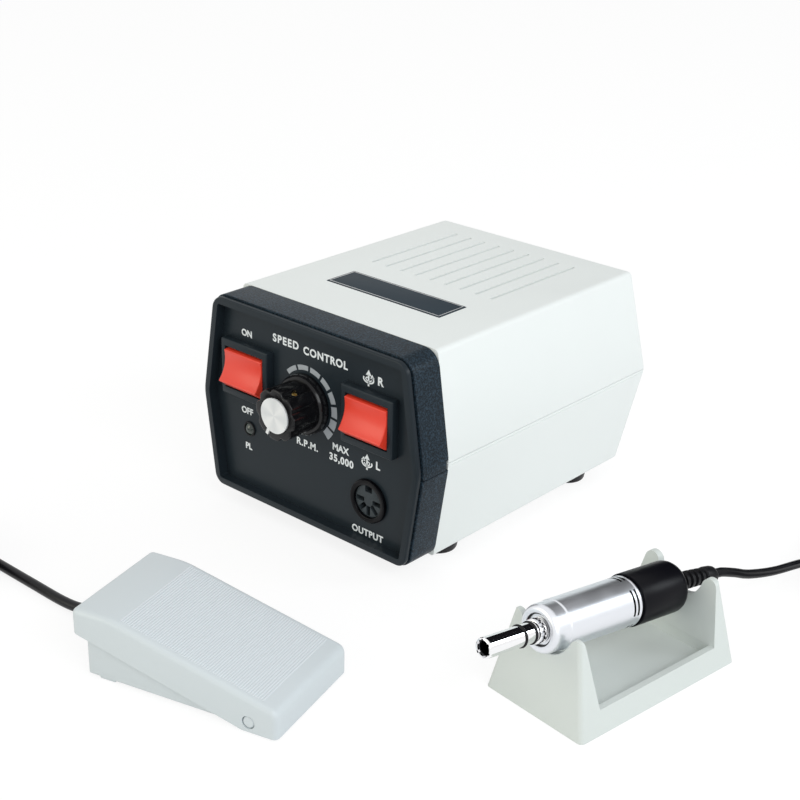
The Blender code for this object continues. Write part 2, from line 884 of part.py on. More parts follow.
# Speed dial: potentiometer behind the panel, shaft, knob, cap disc and set screw
dial = frame("dial_axis", (dial_x, panel_face, dial_z), front_turn, box)
pot_front = -panel_wall - gap
bushing_bore = shaft_radius + gap
turned("speed_pot_body", [(0, -shaft_back - 2 * gap), (bushing_bore, -shaft_back - 2 * gap),
                          (bushing_bore, bushing_front), (bushing_radius, bushing_front),
                          (bushing_radius, pot_front), (pot_radius, pot_front),
                          (pot_radius, pot_front - pot_depth), (0, pot_front - pot_depth)],
       dial, material=black_plastic)
turned("speed_shaft", [(0, shaft_front), (shaft_radius - gap, shaft_front), (shaft_radius, shaft_front - gap),
                       (shaft_radius, -shaft_back), (0, -shaft_back)], dial, material=steel, steps=small_steps)
knob = turned("speed_knob", [(0, knob_skirt_front), (knob_skirt_top_radius, knob_skirt_front),
                             (knob_skirt_radius, knob_skirt_step), (knob_skirt_radius, gap), (0, gap)],
              dial, material=knob_black)
knob_points = 5 * knob_lobes
lobes = []
for number in range(knob_points):
    angle = math.tau * number / knob_points
    hollow = max(0, math.cos(knob_lobes * (angle - set_screw_angle))) ** 1.5
    radius = knob_radius - knob_scallop * hollow
    lobes.append((radius * math.cos(angle), radius * math.sin(angle)))
join(knob, add("knob_grip", plate([lobes], knob_front - knob_skirt_step), dial, place=(0, 0, knob_skirt_step)))


def cap_outline(margin):
    half = pointer_width / 2 + margin
    radius = knob_cap_radius + margin
    spread = math.asin(half / radius)
    points = []
    for number in range(round_steps + 1):
        angle = pointer_angle + spread + (math.tau - 2 * spread) * number / round_steps
        points.append((radius * math.cos(angle), radius * math.sin(angle)))
    outward = Vector((math.cos(pointer_angle), math.sin(pointer_angle))) * (pointer_reach + margin)
    sideways = Vector((-math.sin(pointer_angle), math.cos(pointer_angle))) * half
    points.append(outward - sideways)
    points.append(outward + sideways)
    return points


cap_seat = add("cap_seat", plate([cap_outline(gap)], knob_cap_sink + gap + overrun), dial,
               place=(0, 0, knob_front - knob_cap_sink - gap))
knob_hollow = add("knob_hollow", rod(knob_recess_radius, -overrun, knob_recess_depth, round_steps), dial)
knob_bore = add("knob_bore", rod(bushing_bore, 0, shaft_front + gap), dial)
screw_direction = Vector((math.cos(set_screw_angle), math.sin(set_screw_angle), 0))
screw_turn = (0, math.pi / 2, set_screw_angle)
screw_inner = shaft_radius + gap
screw_outer = knob_radius - set_screw_sink
screw_hole = add("set_screw_hole", rod(set_screw_radius + gap, shaft_radius / 2, knob_radius + overrun),
                 dial, place=(0, 0, set_screw_z), turn=screw_turn)
cut(knob, cap_seat, knob_hollow, knob_bore, screw_hole)
add("knob_cap", plate([cap_outline(0)], knob_cap_thickness), dial,
    place=(0, 0, knob_front - knob_cap_sink), material=cap_silver)
set_screw = add("knob_set_screw", rod(set_screw_radius, screw_inner, screw_outer), dial,
                place=(0, 0, set_screw_z), turn=screw_turn, material=brass)
driver_half = set_screw_radius / 4
cut(set_screw, add("driver_slot", block(
    (-driver_half, -2 * set_screw_radius, screw_outer - 2 * driver_half),
    (driver_half, 2 * set_screw_radius, screw_outer + overrun)), dial,
    place=(0, 0, set_screw_z), turn=screw_turn))

# Pilot lamp
lamp = frame("lamp_axis", (lamp_x, panel_face, lamp_z), front_turn, box)
turned("pilot_lamp", [(0, lamp_dome), (lamp_radius * 0.6, lamp_dome * 0.9), (lamp_radius, lamp_flange + gap),
                      (lamp_flange_radius, lamp_flange), (lamp_flange_radius, gap), (lamp_radius, gap),
                      (lamp_radius, -lamp_length), (0, -lamp_length)], lamp, material=lamp_green,
       steps=small_steps)

# Output socket: shell through the panel and its grey insert with five contact slots
output = frame("output_axis", (output_x, panel_face, output_z), front_turn, box)
turned("output_socket_shell", [
    (output_bore_radius, output_flange), (output_flange_radius - gap, output_flange),
    (output_flange_radius, output_flange - gap), (output_flange_radius, gap), (output_barrel_radius, gap),
    (output_barrel_radius, -output_barrel), (output_bore_radius, -output_barrel)],
    output, material=black_plastic, ring=True)
insert_radius = output_bore_radius - gap
insert_front = -output_insert_sink
insert_back = insert_front - output_insert_depth
insert = add("output_socket_insert", rod(insert_radius, insert_back, insert_front, round_steps), output,
             material=insert_grey)
cut(insert, add("socket_key", block(
    (-output_key_width / 2, insert_radius - output_key_depth, insert_front - contact_slot_depth),
    (output_key_width / 2, insert_radius + overrun, insert_front + overrun)), output))
for number in range(contact_count):
    angle = math.pi + math.pi * number / (contact_count - 1)
    cut(insert, add("contact_slot", block(
        (contact_circle_radius - contact_slot_length / 2, -contact_slot_width / 2,
         insert_front - contact_slot_depth),
        (contact_circle_radius + contact_slot_length / 2, contact_slot_width / 2, insert_front + overrun)),
        output, turn=(0, 0, angle)))

# Feet
foot_places = (("foot_front_left", -foot_x, foot_front_y), ("foot_front_right", foot_x, foot_front_y),
               ("foot_back_left", -foot_x, foot_back_y), ("foot_back_right", foot_x, foot_back_y))
foot_profile = [(0, foot_height - gap), (foot_top_radius, foot_height - gap),
                (foot_base_radius, foot_edge), (foot_base_radius - foot_edge, 0), (0, 0)]
for name, foot_place_x, foot_place_y in foot_places:
    turned(name, foot_profile, box, place=(foot_place_x, foot_place_y, -foot_height),
           material=black_rubber, steps=small_steps)

# Transformer: laminated core with two windows, winding on its middle limb
core_half = core_width / 2
window_low = core_limb
window_high = core_height - core_limb
windows = [rectangle(core_limb, window_low, core_half - core_limb, window_high),
           rectangle(core_limb - core_half, window_low, -core_limb, window_high)]
core_floor = shell_wall + gap
add("transformer_core", plate([rectangle(-core_half, 0, core_half, core_height), *windows], core_stack),
    box, place=(0, core_front + core_stack, core_floor), turn=front_turn, material=lamination)
winding_half = core_half - core_limb - gap
winding_back = core_front + core_stack + winding_overhang
winding = add("transformer_winding", block(
    (-winding_half, core_front - winding_overhang, core_floor + window_low + gap),
    (winding_half, winding_back, core_floor + window_high - gap)), box, material=copper)
round_edges(winding, shell_wall / 2)
cut(winding, add("limb_hole", block(
    (-core_limb - gap, core_front - gap, core_floor),
    (core_limb + gap, core_front + core_stack + gap, core_floor + core_height)), box))

# Circuit board on four posts of the lower shell
board_half = board_width / 2
post_places = [(side * (board_half - post_inset), depth) for side in (-1, 1)
               for depth in (board_front + post_inset, board_front + board_depth - post_inset)]
for post_x, post_y in post_places:
    join(lower_shell, add("board_post", rod(post_radius, shell_wall / 2, shell_wall + post_height), box,
                          place=(post_x, post_y, 0)))
board_low = shell_wall + post_height + gap
board_top = board_low + board_thickness
board = add("circuit_board", block((-board_half, board_front, board_low),
                                   (board_half, board_front + board_depth, board_top)), box,
            material=board_green)
capacitor_place = (board_half / 2, board_front + board_depth / 2, board_low + board_thickness / 2)
join(board, add("capacitor", rod(capacitor_radius, 0, capacitor_height), box, place=capacitor_place))
sink_x = -board_half / 2
sink_low_y = board_front + (board_depth - heat_sink_depth) / 2
heat_sink = add("heat_sink", block(
    (sink_x - heat_sink_width / 2, sink_low_y, board_low + board_thickness / 2),
    (sink_x + heat_sink_width / 2, sink_low_y + heat_sink_depth, board_top + heat_sink_height)), box)
fin_pitch = heat_sink_width / heat_sink_fins
for number in range(heat_sink_fins):
    groove_x = sink_x - heat_sink_width / 2 + fin_pitch * (number + 0.5)
    cut(heat_sink, add("fin_groove", block(
        (groove_x - fin_pitch / 4, sink_low_y + heat_sink_base, board_top),
        (groove_x + fin_pitch / 4, sink_low_y + heat_sink_depth + overrun,
         board_top + heat_sink_height + overrun)), box))
join(board, heat_sink)

# Back wall fittings, in a frame that lies on the sloping wall
back_lean = math.atan2(box_seam_depth - box_bottom_depth, shell_low)
back_wall = frame("back_wall", (0, box_bottom_depth, 0), (-back_lean, 0, 0), box)
outward = (-math.pi / 2, 0, 0)
inlet_low = fitting_height - inlet_body_height / 2
inlet_high = fitting_height + inlet_body_height / 2
inlet = add("mains_inlet", block(
    (inlet_x - inlet_flange_width / 2, gap, fitting_height - inlet_flange_height / 2),
    (inlet_x + inlet_flange_width / 2, gap + inlet_flange, fitting_height + inlet_flange_height / 2)),
    back_wall, material=black_plastic)
join(inlet, add("inlet_body", block(
    (inlet_x - inlet_body_width / 2, -inlet_body_depth, inlet_low),
    (inlet_x + inlet_body_width / 2, gap + inlet_flange / 2, inlet_high)), back_wall))
cut(inlet, add("inlet_cavity", block(
    (inlet_x - inlet_cavity_width / 2, inlet_floor - inlet_body_depth,
     fitting_height - inlet_cavity_height / 2),
    (inlet_x + inlet_cavity_width / 2, gap + inlet_flange + overrun,
     fitting_height + inlet_cavity_height / 2)), back_wall))
for side, raised in ((-1, -1), (0, 1), (1, -1)):
    pin_x = inlet_x + side * inlet_pin_spread
    pin_z = fitting_height + raised * inlet_pin_raise / 2
    join(inlet, add("inlet_pin", block(
        (pin_x - inlet_pin_width / 2, inlet_floor / 2 - inlet_body_depth, pin_z - inlet_pin_height / 2),
        (pin_x + inlet_pin_width / 2, inlet_floor + inlet_pin_length - inlet_body_depth,
         pin_z + inlet_pin_height / 2)), back_wall))
cut(lower_shell, add("inlet_hole", block(
    (inlet_x - inlet_body_width / 2 - gap, -shell_wall - overrun, inlet_low - gap),
    (inlet_x + inlet_body_width / 2 + gap, overrun, inlet_high + gap)), back_wall))

fuse = frame("fuse_axis", (fuse_x, 0, fitting_height), outward, back_wall)
fuse_cap = turned("fuse_cap", [
    (0, fuse_cap_length), (fuse_cap_radius - fuse_slot_depth, fuse_cap_length),
    (fuse_cap_radius, fuse_cap_length - fuse_slot_depth), (fuse_cap_radius, gap), (fuse_stem_radius, gap),
    (fuse_stem_radius, -fuse_stem_length), (0, -fuse_stem_length)], fuse, material=black_plastic,
    steps=small_steps)
cut(fuse_cap, add("fuse_slot", block(
    (-fuse_cap_radius, -fuse_slot_width / 2, fuse_cap_length - fuse_slot_depth),
    (fuse_cap_radius, fuse_slot_width / 2, fuse_cap_length + overrun)), fuse))
foot_jack = frame("foot_socket_axis", (foot_socket_x, 0, fitting_height), outward, back_wall)
turned("foot_socket", [
    (foot_socket_bore, foot_socket_nut), (foot_socket_nut_radius - gap, foot_socket_nut),
    (foot_socket_nut_radius, foot_socket_nut - gap), (foot_socket_nut_radius, gap),
    (foot_socket_radius, gap), (foot_socket_radius, -foot_socket_length),
    (foot_socket_bore, -foot_socket_length)], foot_jack, material=steel, steps=small_steps, ring=True)
for name, hole_frame, radius in (("fuse_hole", fuse, fuse_stem_radius),
                                 ("foot_socket_hole", foot_jack, foot_socket_radius)):
    cut(lower_shell, add(name, rod(radius + gap, -shell_wall - overrun, overrun), hole_frame))

selector = add("selector_body", block(
    (selector_x - selector_plate_width / 2, gap, fitting_height - selector_plate_height / 2),
    (selector_x + selector_plate_width / 2, gap + selector_plate,
     fitting_height + selector_plate_height / 2)), back_wall, material=black_plastic)
join(selector, add("selector_housing", block(
    (selector_x - selector_body_width / 2, -selector_body_depth, fitting_height - selector_body_height / 2),
    (selector_x + selector_body_width / 2, gap + selector_plate / 2,
     fitting_height + selector_body_height / 2)), back_wall))
slot_half = (selector_lever_width + selector_travel) / 2 + gap
cut(selector, add("selector_slot", block(
    (selector_x - slot_half, -selector_slot_depth, fitting_height - selector_slot_height / 2),
    (selector_x + slot_half, gap + selector_plate + overrun,
     fitting_height + selector_slot_height / 2)), back_wall))
cut(lower_shell, add("selector_hole", block(
    (selector_x - selector_body_width / 2 - gap, -shell_wall - overrun,
     fitting_height - selector_body_height / 2 - gap),
    (selector_x + selector_body_width / 2 + gap, overrun,
     fitting_height + selector_body_height / 2 + gap)), back_wall))
lever_x = selector_x - selector_travel / 2
lever = add("selector_lever", block(
    (-selector_lever_width / 2, gap - selector_slot_depth, -selector_lever_height / 2),
    (selector_lever_width / 2, selector_lever_proud, selector_lever_height / 2)), back_wall,
    place=(lever_x, 0, fitting_height), material=black_plastic)
round_edges(lever, gap, 1)

# Foot pedal: base tub and hinged treadle, each a side outline trimmed by a plan outline
pedal = frame("foot_pedal", (pedal_x, pedal_y, 0), (0, 0, pedal_turn))


def wedge(name, side, plan, width, height, material=None):
    item = add(name, plate([side], width, True), pedal, turn=front_turn, material=material)
    trim = add(name + "_plan", plate([plan], height + 2 * overrun), pedal, place=(0, 0, -overrun))
    return combine(item, "INTERSECT", trim)


def plan_outline(back, front, width, back_corner, front_corner):
    corners = rectangle(back, -width / 2, front, width / 2)
    return rounded(corners, (back_corner, front_corner, front_corner, back_corner))


treadle_side = [(0, skirt_back_height), (skirt_meets_base, base_underside),
                (skirt_low_start, skirt_clearance), (pedal_length, skirt_clearance),
                (pedal_length, pedal_front_height), (pedal_flat, pedal_back_height),
                (0, pedal_back_height)]
treadle_radii = (0, 0, 0, 0, treadle_front_radius, treadle_front_radius, treadle_back_radius)
treadle = wedge("treadle", rounded(treadle_side, treadle_radii),
                plan_outline(0, pedal_length, pedal_width, treadle_back_corner, treadle_front_corner),
                pedal_width + 2 * overrun, pedal_back_height, treadle_grey)
round_edges(treadle, treadle_edge_radius, 2, math.radians(50))
hollow_side = inset([(0, -pedal_back_height), (pedal_length, -pedal_back_height),
                     (pedal_length, pedal_front_height), (pedal_flat, pedal_back_height),
                     (0, pedal_back_height)], treadle_wall)
inside_width = pedal_width - 2 * treadle_wall
treadle_hollow = add("treadle_hollow", plate([rounded(hollow_side, (0, 0, treadle_wall, treadle_wall, 0))],
                                             inside_width, True), pedal, turn=front_turn)
hollow_plan = add("treadle_hollow_plan", plate([plan_outline(
    treadle_wall, pedal_length - treadle_wall, inside_width, treadle_back_corner - treadle_wall,
    treadle_front_corner - treadle_wall)], 3 * pedal_back_height), pedal, place=(0, 0, -pedal_back_height))
combine(treadle_hollow, "INTERSECT", hollow_plan)
pivot_axis = frame("treadle_pivot", (pivot_along, 0, pivot_height), parent=pedal)
half_pedal = pedal_width / 2
cut(treadle, treadle_hollow, add("pivot_holes", rod(
    pivot_head_radius + gap, -half_pedal - overrun, half_pedal + overrun), pivot_axis, turn=front_turn))

base_width = inside_width - 2 * gap
base_side = [(base_back, base_underside), (base_front, base_underside), (base_front, base_front_top),
             (pedal_flat, base_back_top), (base_back, base_back_top)]
base_corner = treadle_front_corner - treadle_wall - gap
pedal_base = wedge("pedal_base", base_side,
                   plan_outline(base_back, base_front, base_width, treadle_back_corner, base_corner),
                   base_width + 2 * overrun, base_back_top, base_grey)
tub_floor = base_underside + base_floor
tub_plan = plan_outline(base_back + base_wall, base_front - base_wall, base_width - 2 * base_wall,
                        treadle_back_corner - base_wall / 2, max(base_corner - base_wall, 0))
cut(pedal_base, add("tub_hollow", plate([tub_plan], base_back_top), pedal, place=(0, 0, tub_floor)))
join(pedal_base, add("pivot_barrel", rod(pivot_barrel_radius, -base_width / 2, base_width / 2),
                     pivot_axis, turn=front_turn))
cut(pedal_base, add("pin_bore", rod(pivot_pin_radius + gap, -half_pedal, half_pedal), pivot_axis,
                    turn=front_turn))
join(pedal_base, add("spring_post", rod(spring_post_radius, -base_floor / 2, spring_post_height), pedal,
                     place=(spring_along, 0, tub_floor)))
turned("pivot_pin", [
    (0, half_pedal), (pivot_head_radius, half_pedal), (pivot_head_radius, half_pedal - pivot_head),
    (pivot_pin_radius, half_pedal - pivot_head), (pivot_pin_radius, pivot_head - half_pedal),
    (pivot_head_radius, pivot_head - half_pedal), (pivot_head_radius, -half_pedal), (0, -half_pedal)],
    pivot_axis, turn=front_turn, material=base_grey, steps=small_steps)


def treadle_underside(along):
    slope = (pedal_back_height - pedal_front_height) / (pedal_length - pedal_flat)
    drop = slope * max(along - pedal_flat, 0)
    wall = treadle_wall * math.hypot(1, slope) if along > pedal_flat else treadle_wall
    return pedal_back_height - drop - wall


strip_top = base_underside - gap
for name, along in (("pedal_pad_back", back_strip_along), ("pedal_pad_front", front_strip_along)):
    strip = add(name, block((along - pad_strip_width / 2, -pad_strip_length / 2, 0),
                            (along + pad_strip_width / 2, pad_strip_length / 2, strip_top)), pedal,
                material=black_rubber)
    round_edges(strip, strip_rim, 1)

# Foot switch, its button and the return spring
switch_low = tub_floor + gap
foot_switch = add("foot_switch_body", block(
    (switch_along - foot_switch_length / 2, -foot_switch_width / 2, switch_low),
    (switch_along + foot_switch_length / 2, foot_switch_width / 2, switch_low + foot_switch_height)),
    pedal, material=black_plastic)
button_top = treadle_underside(switch_along + button_radius) - gap
button_low = button_top - button_length
button_bore_low = button_low - foot_switch_height / 3
cut(foot_switch, add("button_bore", rod(button_radius + gap, button_bore_low, button_top), pedal,
                     place=(switch_along, 0, 0)))
button_round = button_radius / 4
turned("foot_switch_button", [(0, button_length), (button_radius - button_round, button_length),
                              (button_radius, button_length - button_round), (button_radius, 0), (0, 0)],
       pedal, place=(switch_along, 0, button_low), material=rocker_red, steps=small_steps)
spring_low = tub_floor + gap + spring_wire / 2
spring_high = treadle_underside(spring_along) - gap - spring_wire / 2
spring_route = []
for number in range(spring_curls * spring_points + 1):
    share = number / (spring_curls * spring_points)
    angle = math.tau * number / spring_points
    spring_route.append((spring_along + spring_radius * math.cos(angle), spring_radius * math.sin(angle),
                         spring_low + (spring_high - spring_low) * share))
tube("return_spring", spring_route, spring_wire, steel, 1, pedal)

# Grommet in the back wall of the pedal base
grommet = frame("grommet_axis", (base_back, grommet_side, grommet_height), (0, -math.pi / 2, 0), pedal)
grommet_out = gap + grommet_flange
grommet_in = -base_wall - gap
turned("pedal_grommet", [
    (0, grommet_out), (grommet_flange_radius - gap, grommet_out), (grommet_flange_radius, grommet_out - gap),
    (grommet_flange_radius, gap), (grommet_neck_radius, gap), (grommet_neck_radius, grommet_in),
    (grommet_flange_radius, grommet_in), (grommet_flange_radius, grommet_in - grommet_flange),
    (0, grommet_in - grommet_flange)], grommet, material=black_rubber, steps=small_steps)
cut(pedal_base, add("grommet_hole", rod(grommet_neck_radius + gap, -base_wall - overrun, overrun), grommet))

# Handpiece stand: tapered block, tray between two notched end walls
stand = frame("handpiece_stand", (stand_x, stand_y, 0), (0, 0, stand_turn))


def tapered(low_corner, high_corner, lean_u, lean_v, radius=None):
    mesh = block(low_corner, high_corner)
    low = low_corner[2]
    for vert in mesh.vertices:
        rise = vert.co.z - low
        middle_u = (low_corner[0] + high_corner[0]) / 2
        vert.co.x -= math.copysign(1, vert.co.x - middle_u) * lean_u * rise
        vert.co.y -= math.copysign(1, vert.co.y) * lean_v * rise
    if radius:
        form = bmesh.new()
        form.from_mesh(mesh)
        upright = [edge for edge in form.edges
                   if abs(edge.verts[0].co.z - edge.verts[1].co.z) > radius]
        bmesh.ops.bevel(form, geom=upright, offset=radius, offset_type="OFFSET", segments=arc_steps,
                        profile=0.5, affect="EDGES", material=-1)
        form.to_mesh(mesh)
        form.free()
    return mesh


half_stand = stand_width / 2
cradle = add("cradle", tapered((0, -half_stand, 0), (stand_length, half_stand, stand_height),
                               stand_end_lean, stand_side_lean, stand_corner_radius),
             stand, material=stand_grey)
round_edges(cradle, stand_edge_radius, 2, math.radians(60))
cut(cradle, add("between_walls", tapered(
    (stand_end_wall - stand_inner_lean * tray_wall_height, -half_stand - overrun, tray_wall_height),
    (stand_length - stand_end_wall + stand_inner_lean * tray_wall_height, half_stand + overrun,
     stand_height + overrun), -stand_inner_lean, 0), stand))
tray_half = half_stand - stand_side_lean * tray_floor - tray_wall
tray_end = stand_end_wall - stand_inner_lean * tray_wall_height + gap
cut(cradle, add("tray", tapered((tray_end, -tray_half, tray_floor),
                                (stand_length - tray_end, tray_half, tray_wall_height + overrun),
                                0, stand_side_lean), stand))
for name, hollow_start in (("front_wall_hollow", stand_hollow_wall),
                           ("back_wall_hollow", stand_length - stand_end_wall + stand_hollow_wall)):
    hollow_end = hollow_start + stand_end_wall - 2 * stand_hollow_wall
    cut(cradle, add(name, tapered(
        (hollow_start, stand_hollow_wall - half_stand, -overrun),
        (hollow_end, half_stand - stand_hollow_wall, stand_hollow_height),
        stand_inner_lean, stand_side_lean), stand))

# Handpiece, drawn along its axis, which runs back from the rim of the motor housing
hand = frame("handpiece_axis", (0, 0, axis_height), (0, math.pi / 2 + axis_tilt, 0), stand)
half_length = stand_length / 2
front_notch_rise = front_notch_radius - housing_body_radius - gap
back_notch_rise = back_notch_radius - relief_start_radius - gap
cut(cradle,
    add("front_notch", rod(front_notch_radius, -half_length, half_length, round_steps), hand,
        place=(-front_notch_rise, 0, 0)),
    add("back_notch", rod(back_notch_radius, half_length, stand_length + half_length, round_steps), hand,
        place=(-back_notch_rise, 0, 0)))


def horn_corners(notch_radius, notch_height):
    middle_height = stand_height - horn_radius
    inner_middle = math.sqrt((notch_radius + horn_radius) ** 2 - (middle_height - notch_height) ** 2)
    inner_end = math.pi + math.atan2(middle_height - notch_height, inner_middle)
    half_lean = math.atan(stand_side_lean)
    outer_middle = (half_stand - stand_side_lean * middle_height - horn_radius / math.cos(half_lean))
    above = stand_height + overrun
    outlines = []
    for middle, last, away in ((inner_middle, inner_end, -overrun), (outer_middle, half_lean, overrun)):
        arc = []
        for step in range(arc_steps + 2):
            angle = math.pi / 2 + (last - math.pi / 2) * step / (arc_steps + 1)
            arc.append((middle + horn_radius * math.cos(angle), middle_height + horn_radius * math.sin(angle)))
        outline = [(middle, above), *arc, (arc[-1][0] + away, arc[-1][1]), (arc[-1][0] + away, above)]
        outlines.append(outline)
        outlines.append([(-across, height) for across, height in outline])
    return outlines


# The tops of the four horns are rounded on both sides
across_turn = (math.pi / 2, 0, math.pi / 2)
back_drop = math.tan(axis_tilt) * (stand_length - stand_end_wall / 2)
front_drop = math.tan(axis_tilt) * stand_end_wall / 2
for name, start, radius, height in (
        ("front_horn_corners", -overrun, front_notch_radius, axis_height - front_drop + front_notch_rise),
        ("back_horn_corners", half_length, back_notch_radius, axis_height - back_drop + back_notch_rise)):
    cut(cradle, add(name, plate(horn_corners(radius, height), half_length + overrun), stand,
                    place=(start, 0, 0), turn=across_turn))
spigot_end = housing_length + spigot_length
stub_hole = nose_stub_radius + gap
groove_bottom = housing_body_radius - collar_groove_depth
housing = turned("motor_housing", [
    (housing_bore, spigot_end), (spigot_radius, spigot_end), (spigot_radius, housing_length),
    (housing_back_radius, housing_length), (housing_body_radius, collar_length + collar_groove),
    (housing_collar_radius, collar_length), (housing_collar_radius, housing_rim_bevel),
    (housing_rim_radius, 0), (housing_recess_radius, 0), (housing_recess_radius, housing_recess),
    (stub_hole, housing_recess), (stub_hole, housing_front_wall), (housing_bore, housing_front_wall)],
    hand, material=aluminium, ring=True)
for place in (slit_first, slit_second):
    for quarter in range(4):
        cut(housing, add("slit", block(
            (slit_bridge / 2, slit_bridge / 2, place - slit_width / 2),
            (cap_radius, cap_radius, place + slit_width / 2)), hand,
            turn=(0, 0, slit_turn + quarter * math.pi / 2)))


# Nose tube with its O-ring grooves, fluted neck and slotted mouth
def groove(middle):
    half = ring_groove_width / 2
    floor = nose_radius - ring_groove
    return [(nose_radius, half - middle), (floor, half - middle), (floor, -half - middle),
            (nose_radius, -half - middle)]


nose_bore_end = nose_bore_depth - nose_length
shaft_hole = rotor_shaft_radius + gap
nose = turned("nose_tube", [
    (shaft_hole, housing_front_wall), (nose_stub_radius, housing_front_wall),
    (nose_stub_radius, housing_recess - gap), (neck_radius, housing_recess - gap),
    (neck_radius, -neck_start), (nose_radius, -neck_start - gap), *groove(ring_back), *groove(ring_front),
    (nose_radius, nose_mouth_bevel - nose_length), (nose_radius - nose_mouth_bevel, -nose_length),
    (nose_bore, -nose_length), (nose_bore, nose_bore_end), (shaft_hole, nose_bore_end)],
    hand, material=chrome, steps=20, ring=True)
for number in range(mouth_slot_pairs):
    cut(nose, add("mouth_slot", block(
        (-neck_radius, -mouth_slot_width / 2, -nose_length - overrun),
        (neck_radius, mouth_slot_width / 2, mouth_slot_depth - nose_length)), hand,
        turn=(0, 0, math.pi / 4 + math.pi * number / mouth_slot_pairs)))
for number in range(neck_flutes):
    angle = math.tau * number / neck_flutes
    cut(nose, add("neck_flute", rod(neck_flute_radius, -neck_start - overrun, -gap, 4), hand,
                  place=(neck_radius * math.cos(angle), neck_radius * math.sin(angle), 0)))
for name, middle in (("o_ring_front", ring_front), ("o_ring_back", ring_back)):
    centre_radius = nose_radius - ring_groove + gap / 2 + ring_wire / 2
    section = circle(ring_wire / 2, 6)
    turned(name, [(centre_radius + out, along - middle) for out, along in reversed(section)], hand,
           material=black_rubber, steps=16, ring=True)

# Back cap over the housing's spigot, with the ribbed strain relief in its end
cap_inner_end = cap_end - cap_end_wall
relief_hole = relief_neck_radius + gap
cap_corner = [(cap_radius - cap_edge_radius * (1 - math.sin(math.pi / 2 * step / arc_steps)),
               cap_end - cap_edge_radius * (1 - math.cos(math.pi / 2 * step / arc_steps)))
              for step in range(arc_steps + 1)]
turned("rear_cap", [
    (relief_hole, cap_end), *cap_corner, (cap_radius, cap_start), (cap_bore, cap_start),
    (cap_bore, cap_inner_start), (cap_inner_bore, cap_inner_start), (cap_inner_bore, cap_inner_end),
    (relief_hole, cap_inner_end)], hand, material=cap_black, ring=True)
relief_start = cap_end + gap
relief_profile = [(0, relief_end), (relief_end_radius, relief_end)]
rib_pitch = (relief_end - relief_start) / (2 * relief_rib_count + 1)
for number in range(2 * relief_rib_count, 0, -1):
    share = number / (2 * relief_rib_count + 1)
    rib_radius = relief_start_radius + (relief_end_radius - relief_start_radius) * share
    depth = relief_rib_depth if number % 2 else 0
    relief_profile.append((rib_radius - depth, relief_start + rib_pitch * number))
relief_profile += [
    (relief_start_radius, relief_start), (relief_neck_radius, relief_start),
    (relief_neck_radius, cap_inner_end - gap), (relief_flange_radius, cap_inner_end - gap),
    (relief_flange_radius, cap_inner_end - gap - relief_flange), (0, cap_inner_end - gap - relief_flange)]
turned("strain_relief", relief_profile, hand, material=cord_black, steps=small_steps)

# Motor inside the handpiece: magnet, rotor, two bearings and the brush holder
turned("magnet_ring", [
    (magnet_inner, magnet_end), (housing_bore - gap, magnet_end), (housing_bore - gap, magnet_start),
    (magnet_inner, magnet_start)], hand, material=magnet_grey, steps=16, ring=True)
rotor = turned("rotor", [
    (0, rotor_back), (rotor_shaft_radius, rotor_back), (rotor_shaft_radius, commutator_end),
    (commutator_radius, commutator_end), (commutator_radius, commutator_start),
    (rotor_shaft_radius, commutator_start), (rotor_shaft_radius, armature_end),
    (armature_radius, armature_end), (armature_radius, armature_start),
    (rotor_shaft_radius, armature_start), (rotor_shaft_radius, drive_dog_length - rotor_front),
    (drive_dog_radius, drive_dog_length - rotor_front), (drive_dog_radius, -rotor_front),
    (0, -rotor_front)], hand, material=brass, steps=16)
cut(rotor, add("drive_slot", block(
    (-neck_radius, -drive_dog_slot / 2, -rotor_front - overrun),
    (neck_radius, drive_dog_slot / 2, drive_dog_length / 2 - rotor_front)), hand))
for name, start, outer in (("bearing_front", front_bearing_start, housing_bore - gap),
                           ("bearing_back", back_bearing_start, bearing_outer)):
    turned(name, [(shaft_hole, start + bearing_width), (outer, start + bearing_width), (outer, start),
                  (shaft_hole, start)], hand, material=steel, steps=16, ring=True)
turned("brush_holder", [
    (brush_inner, brush_end), (cap_inner_bore - gap, brush_end), (cap_inner_bore - gap, brush_start),
    (brush_inner, brush_start)], hand, material=black_plastic, steps=16, ring=True)


# Cords: a smooth line through each route, then a neat coil of four layers and a short tail
def smooth_route(knots, spacing):
    knots = [Vector(knot) for knot in knots]
    padded = [2 * knots[0] - knots[1], *knots, 2 * knots[-1] - knots[-2]]
    dense = []
    for before, start, end, after in zip(padded, padded[1:], padded[2:], padded[3:]):
        for step in range(20):
            t = step / 20
            dense.append(0.5 * (2 * start + (end - before) * t
                                + (2 * before - 5 * start + 4 * end - after) * t ** 2
                                + (3 * start - before - 3 * end + after) * t ** 3))
    dense.append(knots[-1])
    lengths = [0]
    for first, second in zip(dense, dense[1:]):
        lengths.append(lengths[-1] + (second - first).length)
    count = max(2, round(lengths[-1] / spacing))
    points = []
    index = 0
    for number in range(count + 1):
        target = lengths[-1] * number / count
        while index < len(lengths) - 2 and lengths[index + 1] < target:
            index += 1
        share = (target - lengths[index]) / (lengths[index + 1] - lengths[index])
        points.append(dense[index].lerp(dense[index + 1], share))
    return points


